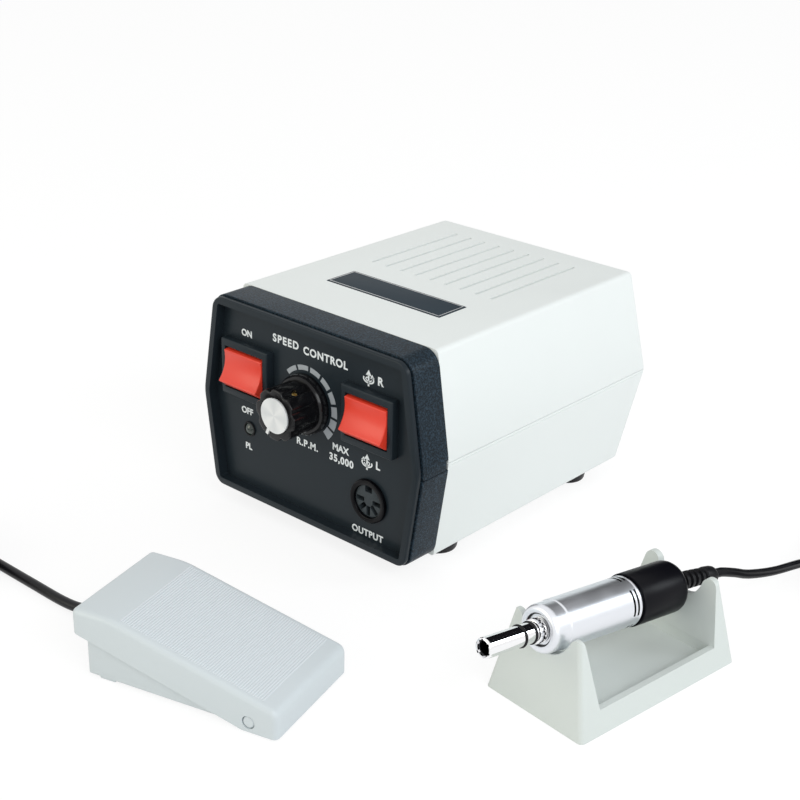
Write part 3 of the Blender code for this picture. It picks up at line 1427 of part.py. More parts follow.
def coil_route(start, heading, side, diameter, plug_height):
    outer = coil_outer_share * diameter
    pitch = diameter + coil_side_clearance
    lift = diameter + coil_layer_clearance
    left = Vector((-heading.y, heading.x, 0))
    centre = start + left * side * outer
    first = math.atan2(start.y - centre.y, start.x - centre.x)
    turns = coil_turns_per_layer * coil_layers
    top = start.z + lift * (coil_layers - 1)
    points = [start - heading * diameter]

    def place(turn, radius, height):
        angle = first + side * math.tau * turn
        return Vector((centre.x + radius * math.cos(angle), centre.y + radius * math.sin(angle), height))

    for number in range(round(turns * coil_points) + 1):
        turn = number / coil_points
        layer = min(int(turn / coil_turns_per_layer), coil_layers - 1)
        along = turn - coil_turns_per_layer * layer
        inward = along if layer % 2 == 0 else coil_turns_per_layer - along
        climbs = sum(smooth_step((turn - coil_turns_per_layer * floor) / climb_turns + 0.5)
                     for floor in range(1, coil_layers))
        points.append(place(turn, outer - pitch * inward, start.z + lift * climbs))
    tail_steps = math.ceil(tail_turns * coil_points)
    for number in range(1, tail_steps + 1):
        extra = tail_turns * number / tail_steps
        radius = outer + tail_out_share * pitch * smooth_step(extra / tail_out_turns)
        fall = smooth_step((extra - tail_drop_start) / (tail_turns - tail_drop_start))
        points.append(place(turns + extra, radius, top + (plug_height - top) * fall))
    angle = first + side * math.tau * (turns + tail_turns)
    onward = Vector((-math.sin(angle), math.cos(angle), 0)) * side
    points.append(points[-1] + onward * diameter)
    return points, onward


def least_gap(points, diameter):
    apart = coil_points // 2
    least = min((points[j] - points[i]).length for i in range(len(points))
                for j in range(i + apart, len(points)))
    return least - diameter


def route_length(points):
    return sum((second - first).length for first, second in zip(points, points[1:]))


pedal_heading = (Vector(pedal_cord_route[-1]) - Vector(pedal_cord_route[-2])).normalized()
stand_along = Vector((math.cos(stand_turn), math.sin(stand_turn), 0))
hand_route = [Vector((stand_x, stand_y, 0)) + stand_along * along + Vector((0, 0, height))
              for along, height in hand_cord_route]
jack_height = jack_grip_radius + plug_floor_clearance
din_height = din_grip_front_radius + plug_floor_clearance
cord_table = (
    ("pedal_cord", [Vector(knot) for knot in pedal_cord_route], pedal_heading, 1, pedal_cord_diameter,
     jack_height),
    ("handpiece_cord", hand_route, stand_along, -1, hand_cord_diameter, din_height))
plug_frames = []
for name, route, heading, side, diameter, plug_height in cord_table:
    run = smooth_route(route, 2.5 * diameter)
    tube(name, run, diameter, cord_black, 2)
    coil_start = route[-1] + heading * (diameter + gap)
    loops, onward = coil_route(coil_start, heading, side, diameter, plug_height)
    tube(name + "_coil", loops, diameter, cord_black, 1)
    turn = Vector((onward.x, onward.y, 0)).to_track_quat("Z", "Y").to_euler()
    plug_frames.append(frame(name + "_plug", loops[-1] + onward * gap, turn))
    print(name, "free run", round(route_length(run), 4), "coil", round(route_length(loops), 4),
          "least gap in the coil", round(least_gap(loops[1:], diameter), 5))
jack_frame, din_frame = plug_frames

# Jack plug on the pedal cord
turned("jack_grip", [
    (0, jack_grip_length), (jack_grip_radius, jack_grip_length), (jack_grip_radius, jack_grip_taper),
    (jack_grip_neck_radius, 0), (0, 0)], jack_frame, material=black_plastic, steps=small_steps)
jack_start = jack_grip_length + gap
tip_end = jack_start + jack_tip_length
tip_waist_place = tip_end - jack_tip_radius
turned("jack_tip", [
    (0, tip_end), (jack_tip_waist, tip_end - jack_tip_radius / 2), (jack_tip_radius, tip_waist_place),
    (jack_tip_waist, tip_waist_place - jack_tip_radius), (jack_tip_radius, tip_waist_place - jack_tip_radius),
    (jack_tip_radius, jack_start + jack_collar), (jack_collar_radius, jack_start + jack_collar),
    (jack_collar_radius, jack_start), (0, jack_start)], jack_frame, material=steel, steps=small_steps)

# Round plug on the handpiece cord: moulded grip, metal shell and five pins
turned("din_plug_grip", [
    (0, din_grip_length), (din_grip_front_radius, din_grip_length), (din_grip_radius, din_grip_taper),
    (din_grip_neck_radius, 0), (0, 0)], din_frame, material=black_plastic, steps=20)
din_start = din_grip_length + gap
din_floor = din_start + din_back_wall
din_shell = turned("din_plug_shell", [
    (0, din_floor), (din_shell_bore, din_floor), (din_shell_bore, din_start + din_shell_length),
    (din_shell_radius, din_start + din_shell_length), (din_shell_radius, din_start), (0, din_start)],
    din_frame, material=steel, steps=20)
for number in range(contact_count):
    angle = math.pi * number / (contact_count - 1)
    join(din_shell, add("din_pin", rod(din_pin_radius, din_floor - din_back_wall / 2,
                                       din_floor + din_pin_length, 6), din_frame,
                        place=(contact_circle_radius * math.cos(angle),
                               contact_circle_radius * math.sin(angle), 0)))
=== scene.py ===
import math

import bmesh
import bpy
from mathutils import Matrix, Vector


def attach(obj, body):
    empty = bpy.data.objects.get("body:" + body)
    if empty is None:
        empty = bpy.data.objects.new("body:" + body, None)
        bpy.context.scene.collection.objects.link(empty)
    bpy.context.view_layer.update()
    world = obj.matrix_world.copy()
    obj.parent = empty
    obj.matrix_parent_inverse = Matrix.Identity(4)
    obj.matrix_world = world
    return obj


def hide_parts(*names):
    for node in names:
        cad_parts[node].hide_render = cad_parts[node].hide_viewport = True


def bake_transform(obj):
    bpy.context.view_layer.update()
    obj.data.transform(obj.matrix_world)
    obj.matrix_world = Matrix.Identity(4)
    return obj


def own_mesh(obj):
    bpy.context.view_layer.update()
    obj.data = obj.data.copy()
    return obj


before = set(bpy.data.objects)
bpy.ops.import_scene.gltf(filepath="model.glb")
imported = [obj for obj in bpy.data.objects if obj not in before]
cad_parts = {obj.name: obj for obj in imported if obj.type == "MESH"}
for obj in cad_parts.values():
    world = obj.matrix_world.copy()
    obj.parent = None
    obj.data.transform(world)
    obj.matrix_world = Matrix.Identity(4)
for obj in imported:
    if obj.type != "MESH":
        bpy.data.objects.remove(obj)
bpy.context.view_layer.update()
mm = 0.001

# Camera
# The set was photographed from the right front and above, with a slight tilt of the camera,
# through a lens of about 69 mm on a square frame.
eye = Vector((0.3553, -0.4261, 0.3224))
heading, look_down, tilt = math.radians(41.43), math.radians(23.71), math.radians(1.39)
camera_turn = (Matrix.Rotation(heading, 4, "Z") @ Matrix.Rotation(math.pi / 2 - look_down, 4, "X")
               @ Matrix.Rotation(tilt, 4, "Z"))
lens = bpy.data.cameras.new("camera")
lens.sensor_width = 36
lens.lens = 69.13
lens.clip_end = 20
camera = bpy.data.objects.new("camera", lens)
camera.matrix_world = Matrix.Translation(eye) @ camera_turn
bpy.context.scene.collection.objects.link(camera)
bpy.context.scene.camera = camera

# Cords
# Two black rubber leads. The pedal's lead is round. The handpiece's lead is three cores laid side
# by side under one skin with a slow twist. Each lies in a short free run, then in a round coil of
# four layers just outside the picture, and ends in its plug.
pedal_cord_width = 4.2 * mm
hand_cord_width = 4.0 * mm
jack_height, din_height = 5.2 * mm, 8.9 * mm
coil_radius_share = 7.07
turns_per_layer = 2.5
layers = 4
points_per_turn = 24
turn_gap, layer_gap, coil_gap = 0.5 * mm, 0.45 * mm, 0.3 * mm
tail_turns, tail_points = 0.36, 9
tail_level_turns, tail_step_turns = 0.12, 0.15
route_step = 3 * mm
stand_place = Vector((0.0899, -0.0501, 0))
stand_angle = math.radians(82.7)
stand_way = Vector((math.cos(stand_angle), math.sin(stand_angle), 0))
pedal_route = [Vector(knot) for knot in (
    (-0.0536, -0.1143, 0.0090), (-0.0586, -0.1156, 0.0086), (-0.0676, -0.1177, 0.0060),
    (-0.0786, -0.1196, 0.0030), (-0.0896, -0.1206, 0.0021), (-0.1096, -0.1209, 0.0021),
    (-0.1336, -0.1211, 0.0021), (-0.1476, -0.1212, 0.0021), (-0.1552, -0.1212, 0.0021))]
hand_route = [stand_place + stand_way * along + Vector((0, 0, height)) for along, height in (
    (0.0986, 0.0222), (0.1027, 0.0214), (0.1120, 0.0178), (0.1213, 0.0138), (0.1380, 0.0092),
    (0.1576, 0.0058), (0.1700, 0.0030), (0.1790, 0.0020), (0.1854, 0.0020))]


def between(before, start, end, after, share):
    return 0.5 * (2 * start + (end - before) * share
                  + (2 * before - 5 * start + 4 * end - after) * share ** 2
                  + (3 * start - before - 3 * end + after) * share ** 3)


def smooth_line(knots, spacing):
    padded = [2 * knots[0] - knots[1], *knots, 2 * knots[-1] - knots[-2]]
    points = []
    for before, start, end, after in zip(padded, padded[1:], padded[2:], padded[3:]):
        steps = max(1, round((end - start).length / spacing))
        points += [between(before, start, end, after, step / steps) for step in range(steps)]
    return points + [knots[-1]]


def ease(value):
    value = min(max(value, 0), 1)
    return value * value * (3 - 2 * value)


def laid_coil(start, heading, side, width, plug_height):
    outer = coil_radius_share * width
    pitch = width + turn_gap
    lift = width + layer_gap
    centre = start + Vector((-heading.y, heading.x, 0)) * side * outer
    first = math.atan2(start.y - centre.y, start.x - centre.x)
    turns = turns_per_layer * layers
    top = start.z + lift * (layers - 1)

    def place(turn, radius, height):
        angle = first + side * math.tau * turn
        return Vector((centre.x + radius * math.cos(angle), centre.y + radius * math.sin(angle), height))

    points = []
    for number in range(round(turns * points_per_turn) + 1):
        turn = number / points_per_turn
        layer = min(int(turn / turns_per_layer), layers - 1)
        along = turn - turns_per_layer * layer
        inward = turns_per_layer - along if layer % 2 else along
        climb = sum(ease((turn - turns_per_layer * floor) * 2 + 0.5) for floor in range(1, layers))
        points.append(place(turn, outer - pitch * inward, start.z + lift * climb))
    for number in range(1, tail_points + 1):
        extra = tail_turns * number / tail_points
        fall = ease((extra - tail_level_turns) / (tail_turns - tail_level_turns))
        points.append(place(turns + extra, outer + 1.2 * pitch * ease(extra / tail_step_turns),
                            top + (plug_height - top) * fall))
    angle = first + side * math.tau * (turns + tail_turns)
    onward = Vector((-math.sin(angle), math.cos(angle), 0)) * side
    return points + [points[-1] + onward * width], onward


def new_material(name):
    material = bpy.data.materials.new(name)
    material.use_nodes = True
    nodes = material.node_tree.nodes
    return material, nodes, material.node_tree.links, nodes["Principled BSDF"]


def rubber(name, colour, roughness, speckle):
    material, nodes, links, shader = new_material(name)
    place = nodes.new("ShaderNodeTexCoord")
    shader.inputs["Specular IOR Level"].default_value = 0.22
    cloud = nodes.new("ShaderNodeTexNoise")
    cloud.inputs["Scale"].default_value = 140
    cloud.inputs["Detail"].default_value = 4
    links.new(place.outputs["Object"], cloud.inputs["Vector"])
    tone = nodes.new("ShaderNodeMapRange")
    tone.inputs["To Min"].default_value = roughness - 0.06
    tone.inputs["To Max"].default_value = roughness + 0.10
    links.new(cloud.outputs["Fac"], tone.inputs["Value"])
    links.new(tone.outputs["Result"], shader.inputs["Roughness"])
    dust = nodes.new("ShaderNodeMix")
    dust.data_type = "RGBA"
    dust.inputs["A"].default_value = (*colour, 1)
    dust.inputs["B"].default_value = (*[level * 2.2 for level in colour], 1)
    links.new(cloud.outputs["Fac"], dust.inputs["Factor"])
    links.new(dust.outputs["Result"], shader.inputs["Base Color"])
    pits = nodes.new("ShaderNodeTexNoise")
    pits.inputs["Scale"].default_value = 2200
    links.new(place.outputs["Object"], pits.inputs["Vector"])
    bump = nodes.new("ShaderNodeBump")
    bump.inputs["Strength"].default_value = speckle
    bump.inputs["Distance"].default_value = 0.1 * mm
    links.new(pits.outputs["Fac"], bump.inputs["Height"])
    links.new(bump.outputs["Normal"], shader.inputs["Normal"])
    return material


sheath = rubber("cord_sheath", (0.004, 0.004, 0.005), 0.30, 0.10)
moulded_black = rubber("moulded_black", (0.005, 0.005, 0.006), 0.42, 0.20)


def swept(name, points, section, twist, material):
    form = bmesh.new()
    rings = []
    across = Vector((0, 0, 1))
    run = 0
    for index, point in enumerate(points):
        before = points[max(index - 1, 0)]
        after = points[min(index + 1, len(points) - 1)]
        run += (point - before).length
        way = (after - before).normalized()
        across = (across - way * across.dot(way)).normalized()
        side = way.cross(across)
        turn = twist * run
        rings.append([form.verts.new(
            point + across * (x * math.cos(turn) - y * math.sin(turn))
            + side * (x * math.sin(turn) + y * math.cos(turn))) for x, y in section])
    loops = []
    for ring in rings:
        loops.append([form.edges.new((a, b)) for a, b in zip(ring, ring[1:] + ring[:1])])
    for first, second in zip(loops, loops[1:]):
        bmesh.ops.bridge_loops(form, edges=first + second)
    for ring in (rings[0], rings[-1]):
        form.faces.new(ring)
    bmesh.ops.recalc_face_normals(form, faces=form.faces)
    mesh = bpy.data.meshes.new(name)
    form.to_mesh(mesh)
    form.free()
    mesh.shade_smooth()
    mesh.set_sharp_from_angle(angle=math.radians(50))
    mesh.materials.append(material)
    piece = bpy.data.objects.new(name, mesh)
    bpy.context.scene.collection.objects.link(piece)
    return piece


def cored_section(width, cores, steps):
    core = width * 0.27
    reach = width / 2 - core
    points = []
    for step in range(steps):
        angle = math.tau * step / steps
        spread = max(math.cos(angle - math.tau * number / cores) for number in range(cores))
        inside = max(core ** 2 - (reach ** 2) * (1 - spread ** 2), 0)
        radius = max(reach * spread + math.sqrt(inside), 0.36 * width)
        points.append((radius * math.cos(angle), radius * math.sin(angle)))
    return points


def round_section(width, steps):
    turns = [math.tau * step / steps for step in range(steps)]
    return [(width / 2 * math.cos(turn), width / 2 * math.sin(turn)) for turn in turns]


pedal_heading = (pedal_route[-1] - pedal_route[-2]).normalized()
pedal_line = smooth_line(pedal_route, route_step)
pedal_coil, jack_way = laid_coil(pedal_route[-1] + pedal_heading * (pedal_cord_width + coil_gap),
                                 pedal_heading, 1, pedal_cord_width, jack_height)
pedal_path = pedal_line + pedal_coil
pedal_cord = swept("pedal_cord_sheath", pedal_path, round_section(pedal_cord_width, 16), 0, sheath)
hand_line = smooth_line(hand_route, route_step)
hand_coil, din_way = laid_coil(hand_route[-1] + stand_way * (hand_cord_width + coil_gap),
                               stand_way, -1, hand_cord_width, din_height)
hand_path = hand_line + hand_coil
core_twist = 9
hand_cord = swept("handpiece_cord_sheath", hand_path, cored_section(hand_cord_width, 3, 36), core_twist,
                  sheath)
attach(pedal_cord, "set_base")
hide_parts("pedal_cord", "pedal_cord_coil")
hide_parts("handpiece_cord", "handpiece_cord_coil")
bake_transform(hand_cord)

# Plugs
# A small jack plug on the pedal's lead and a round five-pin plug on the handpiece's lead, both
# with black moulded grips. The metal shells, pins and jack tip are turned steel.


def lathe(profile, steps=96):
    form = bmesh.new()
    verts = [form.verts.new((radius, 0, height)) for radius, height in profile]
    edges = [form.edges.new(pair) for pair in zip(verts, verts[1:])]
    bmesh.ops.spin(form, geom=verts + edges, cent=(0, 0, 0), axis=(0, 0, 1), dvec=(0, 0, 0),
                   angle=math.tau, steps=steps, use_merge=True, use_normal_flip=False, use_duplicate=False)
    bmesh.ops.remove_doubles(form, verts=form.verts, dist=0.001 * mm)
    bmesh.ops.recalc_face_normals(form, faces=form.faces)
    return form


def soften(form, width, segments=3, chosen=None, angle=26):
    edges = [edge for edge in form.edges if len(edge.link_faces) == 2
             and edge.calc_face_angle() > math.radians(angle)
             and (chosen is None or chosen(edge.verts[0].co, edge.verts[1].co))]
    bmesh.ops.bevel(form, geom=edges, offset=width, offset_type="OFFSET", segments=segments,
                    profile=0.5, affect="EDGES", clamp_overlap=True, material=-1)
    return form


def brick(low, high):
    form = bmesh.new()
    low, high = Vector(low), Vector(high)
    bmesh.ops.create_cube(form, size=1)
    bmesh.ops.scale(form, vec=high - low, verts=form.verts)
    bmesh.ops.translate(form, vec=(high + low) / 2, verts=form.verts)
    return form


def rod(radius, low, high, steps=64):
    form = bmesh.new()
    bmesh.ops.create_cone(form, cap_ends=True, segments=steps, radius1=radius, radius2=radius,
                          depth=high - low)
    bmesh.ops.translate(form, vec=(0, 0, (high + low) / 2), verts=form.verts)
    return form


sharp_angle = math.radians(32)


def make(name, form, place, material=None):
    mesh = bpy.data.meshes.new(name)
    form.to_mesh(mesh)
    form.free()
    mesh.transform(place)
    mesh.shade_smooth()
    mesh.set_sharp_from_angle(angle=sharp_angle)
    if material:
        mesh.materials.append(material)
    piece = bpy.data.objects.new(name, mesh)
    bpy.context.scene.collection.objects.link(piece)
    return piece


def carve(piece, operation, *tools):
    for tool in tools:
        step = piece.modifiers.new(tool.name, "BOOLEAN")
        step.operation = operation
        step.object = tool
        step.solver = "EXACT"
        tool.hide_render = True
    graph = bpy.context.evaluated_depsgraph_get()
    carved = bpy.data.meshes.new_from_object(piece.evaluated_get(graph))
    piece.modifiers.clear()
    materials = list(piece.data.materials)
    piece.data = carved
    carved.materials.clear()
    for material in materials:
        carved.materials.append(material)
    for tool in tools:
        bpy.data.objects.remove(tool)
    carved.shade_smooth()
    carved.set_sharp_from_angle(angle=sharp_angle)
    return piece


def fit(piece, body, slot, *nodes):
    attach(piece, body)
    if nodes:
        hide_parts(*nodes)
    return piece


def fine_lines():
    group = bpy.data.node_groups.new("tool marks", "ShaderNodeTree")
    for name, kind in (("Axis", "NodeSocketVector"), ("Scale", "NodeSocketFloat")):
        group.interface.new_socket(name=name, in_out="INPUT", socket_type=kind)
    for name in ("Line", "Cloud"):
        group.interface.new_socket(name=name, in_out="OUTPUT", socket_type="NodeSocketFloat")
    nodes, links = group.nodes, group.links
    entry, leave = nodes.new("NodeGroupInput"), nodes.new("NodeGroupOutput")
    place = nodes.new("ShaderNodeTexCoord")
    along = nodes.new("ShaderNodeVectorMath")
    along.operation = "DOT_PRODUCT"
    line = nodes.new("ShaderNodeTexNoise")
    line.noise_dimensions = "1D"
    line.inputs["Detail"].default_value = 3
    cloud = nodes.new("ShaderNodeTexNoise")
    cloud.inputs["Scale"].default_value = 90
    cloud.inputs["Detail"].default_value = 3
    links.new(place.outputs["Object"], along.inputs[0])
    links.new(entry.outputs["Axis"], along.inputs[1])
    links.new(along.outputs["Value"], line.inputs["W"])
    links.new(entry.outputs["Scale"], line.inputs["Scale"])
    links.new(place.outputs["Object"], cloud.inputs["Vector"])
    links.new(line.outputs["Fac"], leave.inputs["Line"])
    links.new(cloud.outputs["Fac"], leave.inputs["Cloud"])
    return group


tool_marks = fine_lines()


def metal(name, colour, roughness, marks=0.03, axis=(0, 0, 1), scale=9000):
    material, nodes, links, shader = new_material(name)
    shader.inputs["Base Color"].default_value = (*colour, 1)
    shader.inputs["Metallic"].default_value = 1
    texture = nodes.new("ShaderNodeGroup")
    texture.node_tree = tool_marks
    texture.inputs["Axis"].default_value = axis
    texture.inputs["Scale"].default_value = scale
    tone = nodes.new("ShaderNodeMapRange")
    tone.inputs["To Min"].default_value = roughness * 0.8
    tone.inputs["To Max"].default_value = roughness * 1.2
    links.new(texture.outputs["Cloud"], tone.inputs["Value"])
    links.new(tone.outputs["Result"], shader.inputs["Roughness"])
    bump = nodes.new("ShaderNodeBump")
    bump.inputs["Strength"].default_value = marks
    bump.inputs["Distance"].default_value = 0.05 * mm
    links.new(texture.outputs["Line"], bump.inputs["Height"])
    links.new(bump.outputs["Normal"], shader.inputs["Normal"])
    return material


turned_steel = metal("turned_steel", (0.66, 0.67, 0.69), 0.24)
brass = metal("brass_screw", (0.80, 0.58, 0.22), 0.30)


def plug_place(path, way):
    turn = Vector((way.x, way.y, 0)).to_track_quat("Z", "Y").to_matrix().to_4x4()
    return Matrix.Translation(path[-1] + way * coil_gap) @ turn


jack_place = plug_place(pedal_path, jack_way)
jack_radius, groove_radius = 5.0 * mm, 4.4 * mm
grooves = []
for low in (12 * mm, 14.4 * mm, 16.8 * mm, 19.2 * mm):
    grooves += [(jack_radius, low), (groove_radius, low + 0.1 * mm), (groove_radius, low + 0.8 * mm),
                (jack_radius, low + 0.9 * mm)]
grip = lathe([(0, 0), (3.0 * mm, 0), (3.6 * mm, 2.5 * mm), (4.7 * mm, 8 * mm), (jack_radius, 10 * mm),
              *grooves, (jack_radius, 25.4 * mm), (4.4 * mm, 26 * mm), (0, 26 * mm)], 48)
jack_grip = fit(make("jack_grip_moulding", grip, jack_place, moulded_black), "set_base", "black_plastic",
                "jack_grip")
tip = lathe([(0, 26.3 * mm), (4 * mm, 26.3 * mm), (4 * mm, 27.6 * mm), (1.75 * mm, 27.8 * mm),
             (1.75 * mm, 36.4 * mm), (1.2 * mm, 37.2 * mm), (1.75 * mm, 38.2 * mm), (1.2 * mm, 39.8 * mm),
             (0, 40.3 * mm)], 48)
jack_tip = fit(make("jack_tip_turned", tip, jack_place, turned_steel), "set_base", "steel", "jack_tip")

din_place = plug_place(hand_path, din_way)
grip = lathe([(0, 0), (3.6 * mm, 0), (4.4 * mm, 3 * mm), (6.8 * mm, 8.5 * mm), (8.3 * mm, 13 * mm),
              (8.6 * mm, 20 * mm), (8.7 * mm, 36.8 * mm), (7.8 * mm, 38 * mm), (0, 38 * mm)], 72)
din_grip = fit(make("din_grip_moulding", grip, din_place, moulded_black), "set_base", "black_plastic",
               "din_plug_grip")


def round_axis(place, number, count, out):
    return place @ Matrix.Rotation(math.tau * number / count, 4, "Z") @ Matrix.Translation((out, 0, 0))


flutes = 16
carve(din_grip, "DIFFERENCE", *[
    make("grip_flute", rod(0.9 * mm, 19 * mm, 34 * mm, 16), round_axis(din_place, number, flutes, 9.2 * mm))
    for number in range(flutes)])
shell = lathe([(0, 38.3 * mm), (6.8 * mm, 38.3 * mm), (6.8 * mm, 49.3 * mm), (6.1 * mm, 49.3 * mm),
               (6.1 * mm, 40.3 * mm), (0, 40.3 * mm)], 72)
din_shell = fit(make("din_shell_turned", shell, din_place, turned_steel), "set_base", "steel",
                "din_plug_shell")
contacts = 5
pin_circle = 4.8 * mm
for number in range(contacts):
    angle = math.pi * number / (contacts - 1)
    pin_spot = Matrix.Translation((pin_circle * math.cos(angle), pin_circle * math.sin(angle), 0))
    pin = make("din_pin_%d" % number, soften(rod(0.7 * mm, 39.5 * mm, 48.3 * mm, 24), 0.3 * mm),
               din_place @ pin_spot, turned_steel)
    fit(pin, "set_base", "steel")

# Case shells
# Upper and lower shell of the control box, injection moulded in white plastic with a fine eroded
# grain. They meet in a shallow groove along the widest line of the box.
box_place = Matrix.Translation((-0.0596, -0.0145, 0.0070))
seam_z = 44.7 * mm
seam_half, top_half, bottom_half = 64.0 * mm, 56.3 * mm, 57.6 * mm
seam_back, top_back, bottom_back = 158.3 * mm, 152.2 * mm, 150.1 * mm
box_height = 91.6 * mm
shell_front = 17.0 * mm
wall = 2.5 * mm
half_seam = 0.15 * mm
shell_step = 0.5 * mm
overrun = 2 * mm
upright_radius, lid_radius, floor_radius, least_radius = 2 * mm, 3.5 * mm, 1 * mm, 0.3 * mm


def grain_group():
    group = bpy.data.node_groups.new("moulded grain", "ShaderNodeTree")
    for name, value in (("Scale", 2000.0), ("Clump", 0.5)):
        socket = group.interface.new_socket(name=name, in_out="INPUT", socket_type="NodeSocketFloat")
        socket.default_value = value
    for name in ("Height", "Cloud"):
        group.interface.new_socket(name=name, in_out="OUTPUT", socket_type="NodeSocketFloat")
    nodes, links = group.nodes, group.links
    entry, leave = nodes.new("NodeGroupInput"), nodes.new("NodeGroupOutput")
    place = nodes.new("ShaderNodeTexCoord")
    cells = nodes.new("ShaderNodeTexVoronoi")
    cells.feature = "SMOOTH_F1"
    fine = nodes.new("ShaderNodeTexNoise")
    fine.inputs["Detail"].default_value = 3
    cloud = nodes.new("ShaderNodeTexNoise")
    cloud.inputs["Scale"].default_value = 26
    cloud.inputs["Detail"].default_value = 3
    mix = nodes.new("ShaderNodeMix")
    for texture in (cells, fine, cloud):
        links.new(place.outputs["Object"], texture.inputs["Vector"])
    links.new(entry.outputs["Scale"], cells.inputs["Scale"])
    links.new(entry.outputs["Scale"], fine.inputs["Scale"])
    links.new(entry.outputs["Clump"], mix.inputs["Factor"])
    links.new(fine.outputs["Fac"], mix.inputs["A"])
    links.new(cells.outputs["Distance"], mix.inputs["B"])
    links.new(mix.outputs["Result"], leave.inputs["Height"])
    links.new(cloud.outputs["Fac"], leave.inputs["Cloud"])
    return group


moulded_grain = grain_group()


def plastic(name, colour, roughness, grain, strength, clump=0.4, tint=0.04, coat=0.0, sheen=0.5,
            peak_sparkle=0.0):
    material, nodes, links, shader = new_material(name)
    shader.inputs["Specular IOR Level"].default_value = sheen
    if coat:
        shader.inputs["Coat Weight"].default_value = coat
        shader.inputs["Coat Roughness"].default_value = 0.08
    texture = nodes.new("ShaderNodeGroup")
    texture.node_tree = moulded_grain
    texture.inputs["Scale"].default_value = grain
    texture.inputs["Clump"].default_value = clump
    mix = nodes.new("ShaderNodeMix")
    mix.data_type = "RGBA"
    mix.inputs["A"].default_value = (*[level * (1 - tint) for level in colour], 1)
    mix.inputs["B"].default_value = (*[min(level * (1 + tint), 1) for level in colour], 1)
    links.new(texture.outputs["Cloud"], mix.inputs["Factor"])
    links.new(mix.outputs["Result"], shader.inputs["Base Color"])
    # Optional lightening of the grain's peaks towards a paler tone: painted sparkle highlights, standing for
    # lamp light caught on the tops of the grain.
    if peak_sparkle:
        peaks = nodes.new("ShaderNodeMapRange")
        peaks.inputs["From Min"].default_value = 0.36
        peaks.inputs["From Max"].default_value = 0.62
        peaks.inputs["To Max"].default_value = peak_sparkle
        links.new(texture.outputs["Height"], peaks.inputs["Value"])
        sparkle_mix = nodes.new("ShaderNodeMix")
        sparkle_mix.data_type = "RGBA"
        sparkle_mix.inputs["B"].default_value = (*[level * 5 for level in colour], 1)
        links.new(peaks.outputs["Result"], sparkle_mix.inputs["Factor"])
        links.new(mix.outputs["Result"], sparkle_mix.inputs["A"])
        links.new(sparkle_mix.outputs["Result"], shader.inputs["Base Color"])
    tone = nodes.new("ShaderNodeMapRange")
    tone.inputs["To Min"].default_value = roughness - 0.07
    tone.inputs["To Max"].default_value = roughness + 0.07
    links.new(texture.outputs["Cloud"], tone.inputs["Value"])
    links.new(tone.outputs["Result"], shader.inputs["Roughness"])
    bump = nodes.new("ShaderNodeBump")
    bump.inputs["Strength"].default_value = strength
    bump.inputs["Distance"].default_value = 0.12 * mm
    links.new(texture.outputs["Height"], bump.inputs["Height"])
    links.new(bump.outputs["Normal"], shader.inputs["Normal"])
    return material


shell_white = plastic("shell_white", (0.84, 0.875, 0.86), 0.50, 1500, 0.22, tint=0.012)


def shell_form(seam, end, end_half, end_back, margin, edge_radius):
    toward = math.copysign(1, end - seam)
    past = overrun if margin else 0
    form = bmesh.new()
    bmesh.ops.create_cube(form, size=2)
    for vert in form.verts:
        at_end = (vert.co.z > 0) == (toward > 0)
        height = end - toward * margin if at_end else seam - toward * past
        share = (height - seam) / (end - seam)
        half = seam_half + (end_half - seam_half) * share - shell_step - margin
        back = seam_back + (end_back - seam_back) * share - margin
        vert.co = Vector((math.copysign(half, vert.co.x), back if vert.co.y > 0 else shell_front - past,
                          height))
    behind = shell_front + overrun
    last = end - toward * margin
    soften(form, max(upright_radius - margin, least_radius), 6,
           lambda a, b: abs(a.z - b.z) > 10 * mm and min(a.y, b.y) > behind)
    soften(form, max(edge_radius - margin, least_radius), 6,
           lambda a, b: max(abs(a.z - last), abs(b.z - last)) < 0.01 * mm and max(a.y, b.y) > behind)
    if not margin:
        soften(form, 0.5 * mm, 2,
               lambda a, b: max(abs(a.z - seam), abs(b.z - seam)) < 0.01 * mm and max(a.y, b.y) > behind)
    return form


def upper_form(margin):
    return shell_form(seam_z + half_seam, box_height, top_half, top_back, margin, lid_radius)


def lower_form(margin):
    return shell_form(seam_z - half_seam, 0, bottom_half, bottom_back, margin, floor_radius)


upper_shell = make("upper_shell_moulding", upper_form(0), box_place, shell_white)
carve(upper_shell, "DIFFERENCE", make("upper_hollow", upper_form(wall), box_place))
slot_count, slot_pitch, slots_off_centre = 9, 8.65 * mm, 1.2 * mm
slot_half, slot_front, slot_back = 0.75 * mm, 77.6 * mm, 138.1 * mm
for number in range(slot_count):
    slot_x = slot_pitch * (number - slot_count // 2) - slots_off_centre
    slot = brick((slot_x - slot_half, slot_front, box_height - 2 * wall),
                 (slot_x + slot_half, slot_back, box_height + overrun))
    soften(slot, slot_half - 0.02 * mm, 4, lambda a, b: abs(a.z - b.z) > wall)
    carve(upper_shell, "DIFFERENCE", make("air_slot", slot, box_place))
plate_half, plate_front, plate_back = 32.45 * mm, 44.9 * mm, 62.4 * mm
plate_gap, seat_depth = 0.3 * mm, 0.8 * mm
carve(upper_shell, "DIFFERENCE", make("plate_seat", brick(
    (-plate_half - plate_gap, plate_front - plate_gap, box_height - seat_depth),
    (plate_half + plate_gap, plate_back + plate_gap, box_height + overrun)), box_place))
fit(upper_shell, "set_base", "white_shell", "upper_shell")
lower_shell = make("lower_shell_moulding", lower_form(0), box_place, shell_white)
carve(lower_shell, "DIFFERENCE", make("lower_hollow", lower_form(wall), box_place))
lip_low, lip_high, lip_depth = seam_z - 1.35 * mm, seam_z - 1.1 * mm, 0.25 * mm
lip = make("lip_groove", brick((-70 * mm, 17.5 * mm, lip_low), (70 * mm, 165 * mm, lip_high)), box_place)
carve(lip, "DIFFERENCE", make("lip_inside", lower_form(lip_depth), box_place))
carve(lower_shell, "DIFFERENCE", lip)
back_lean = math.atan2(seam_back - bottom_back, seam_z - half_seam)
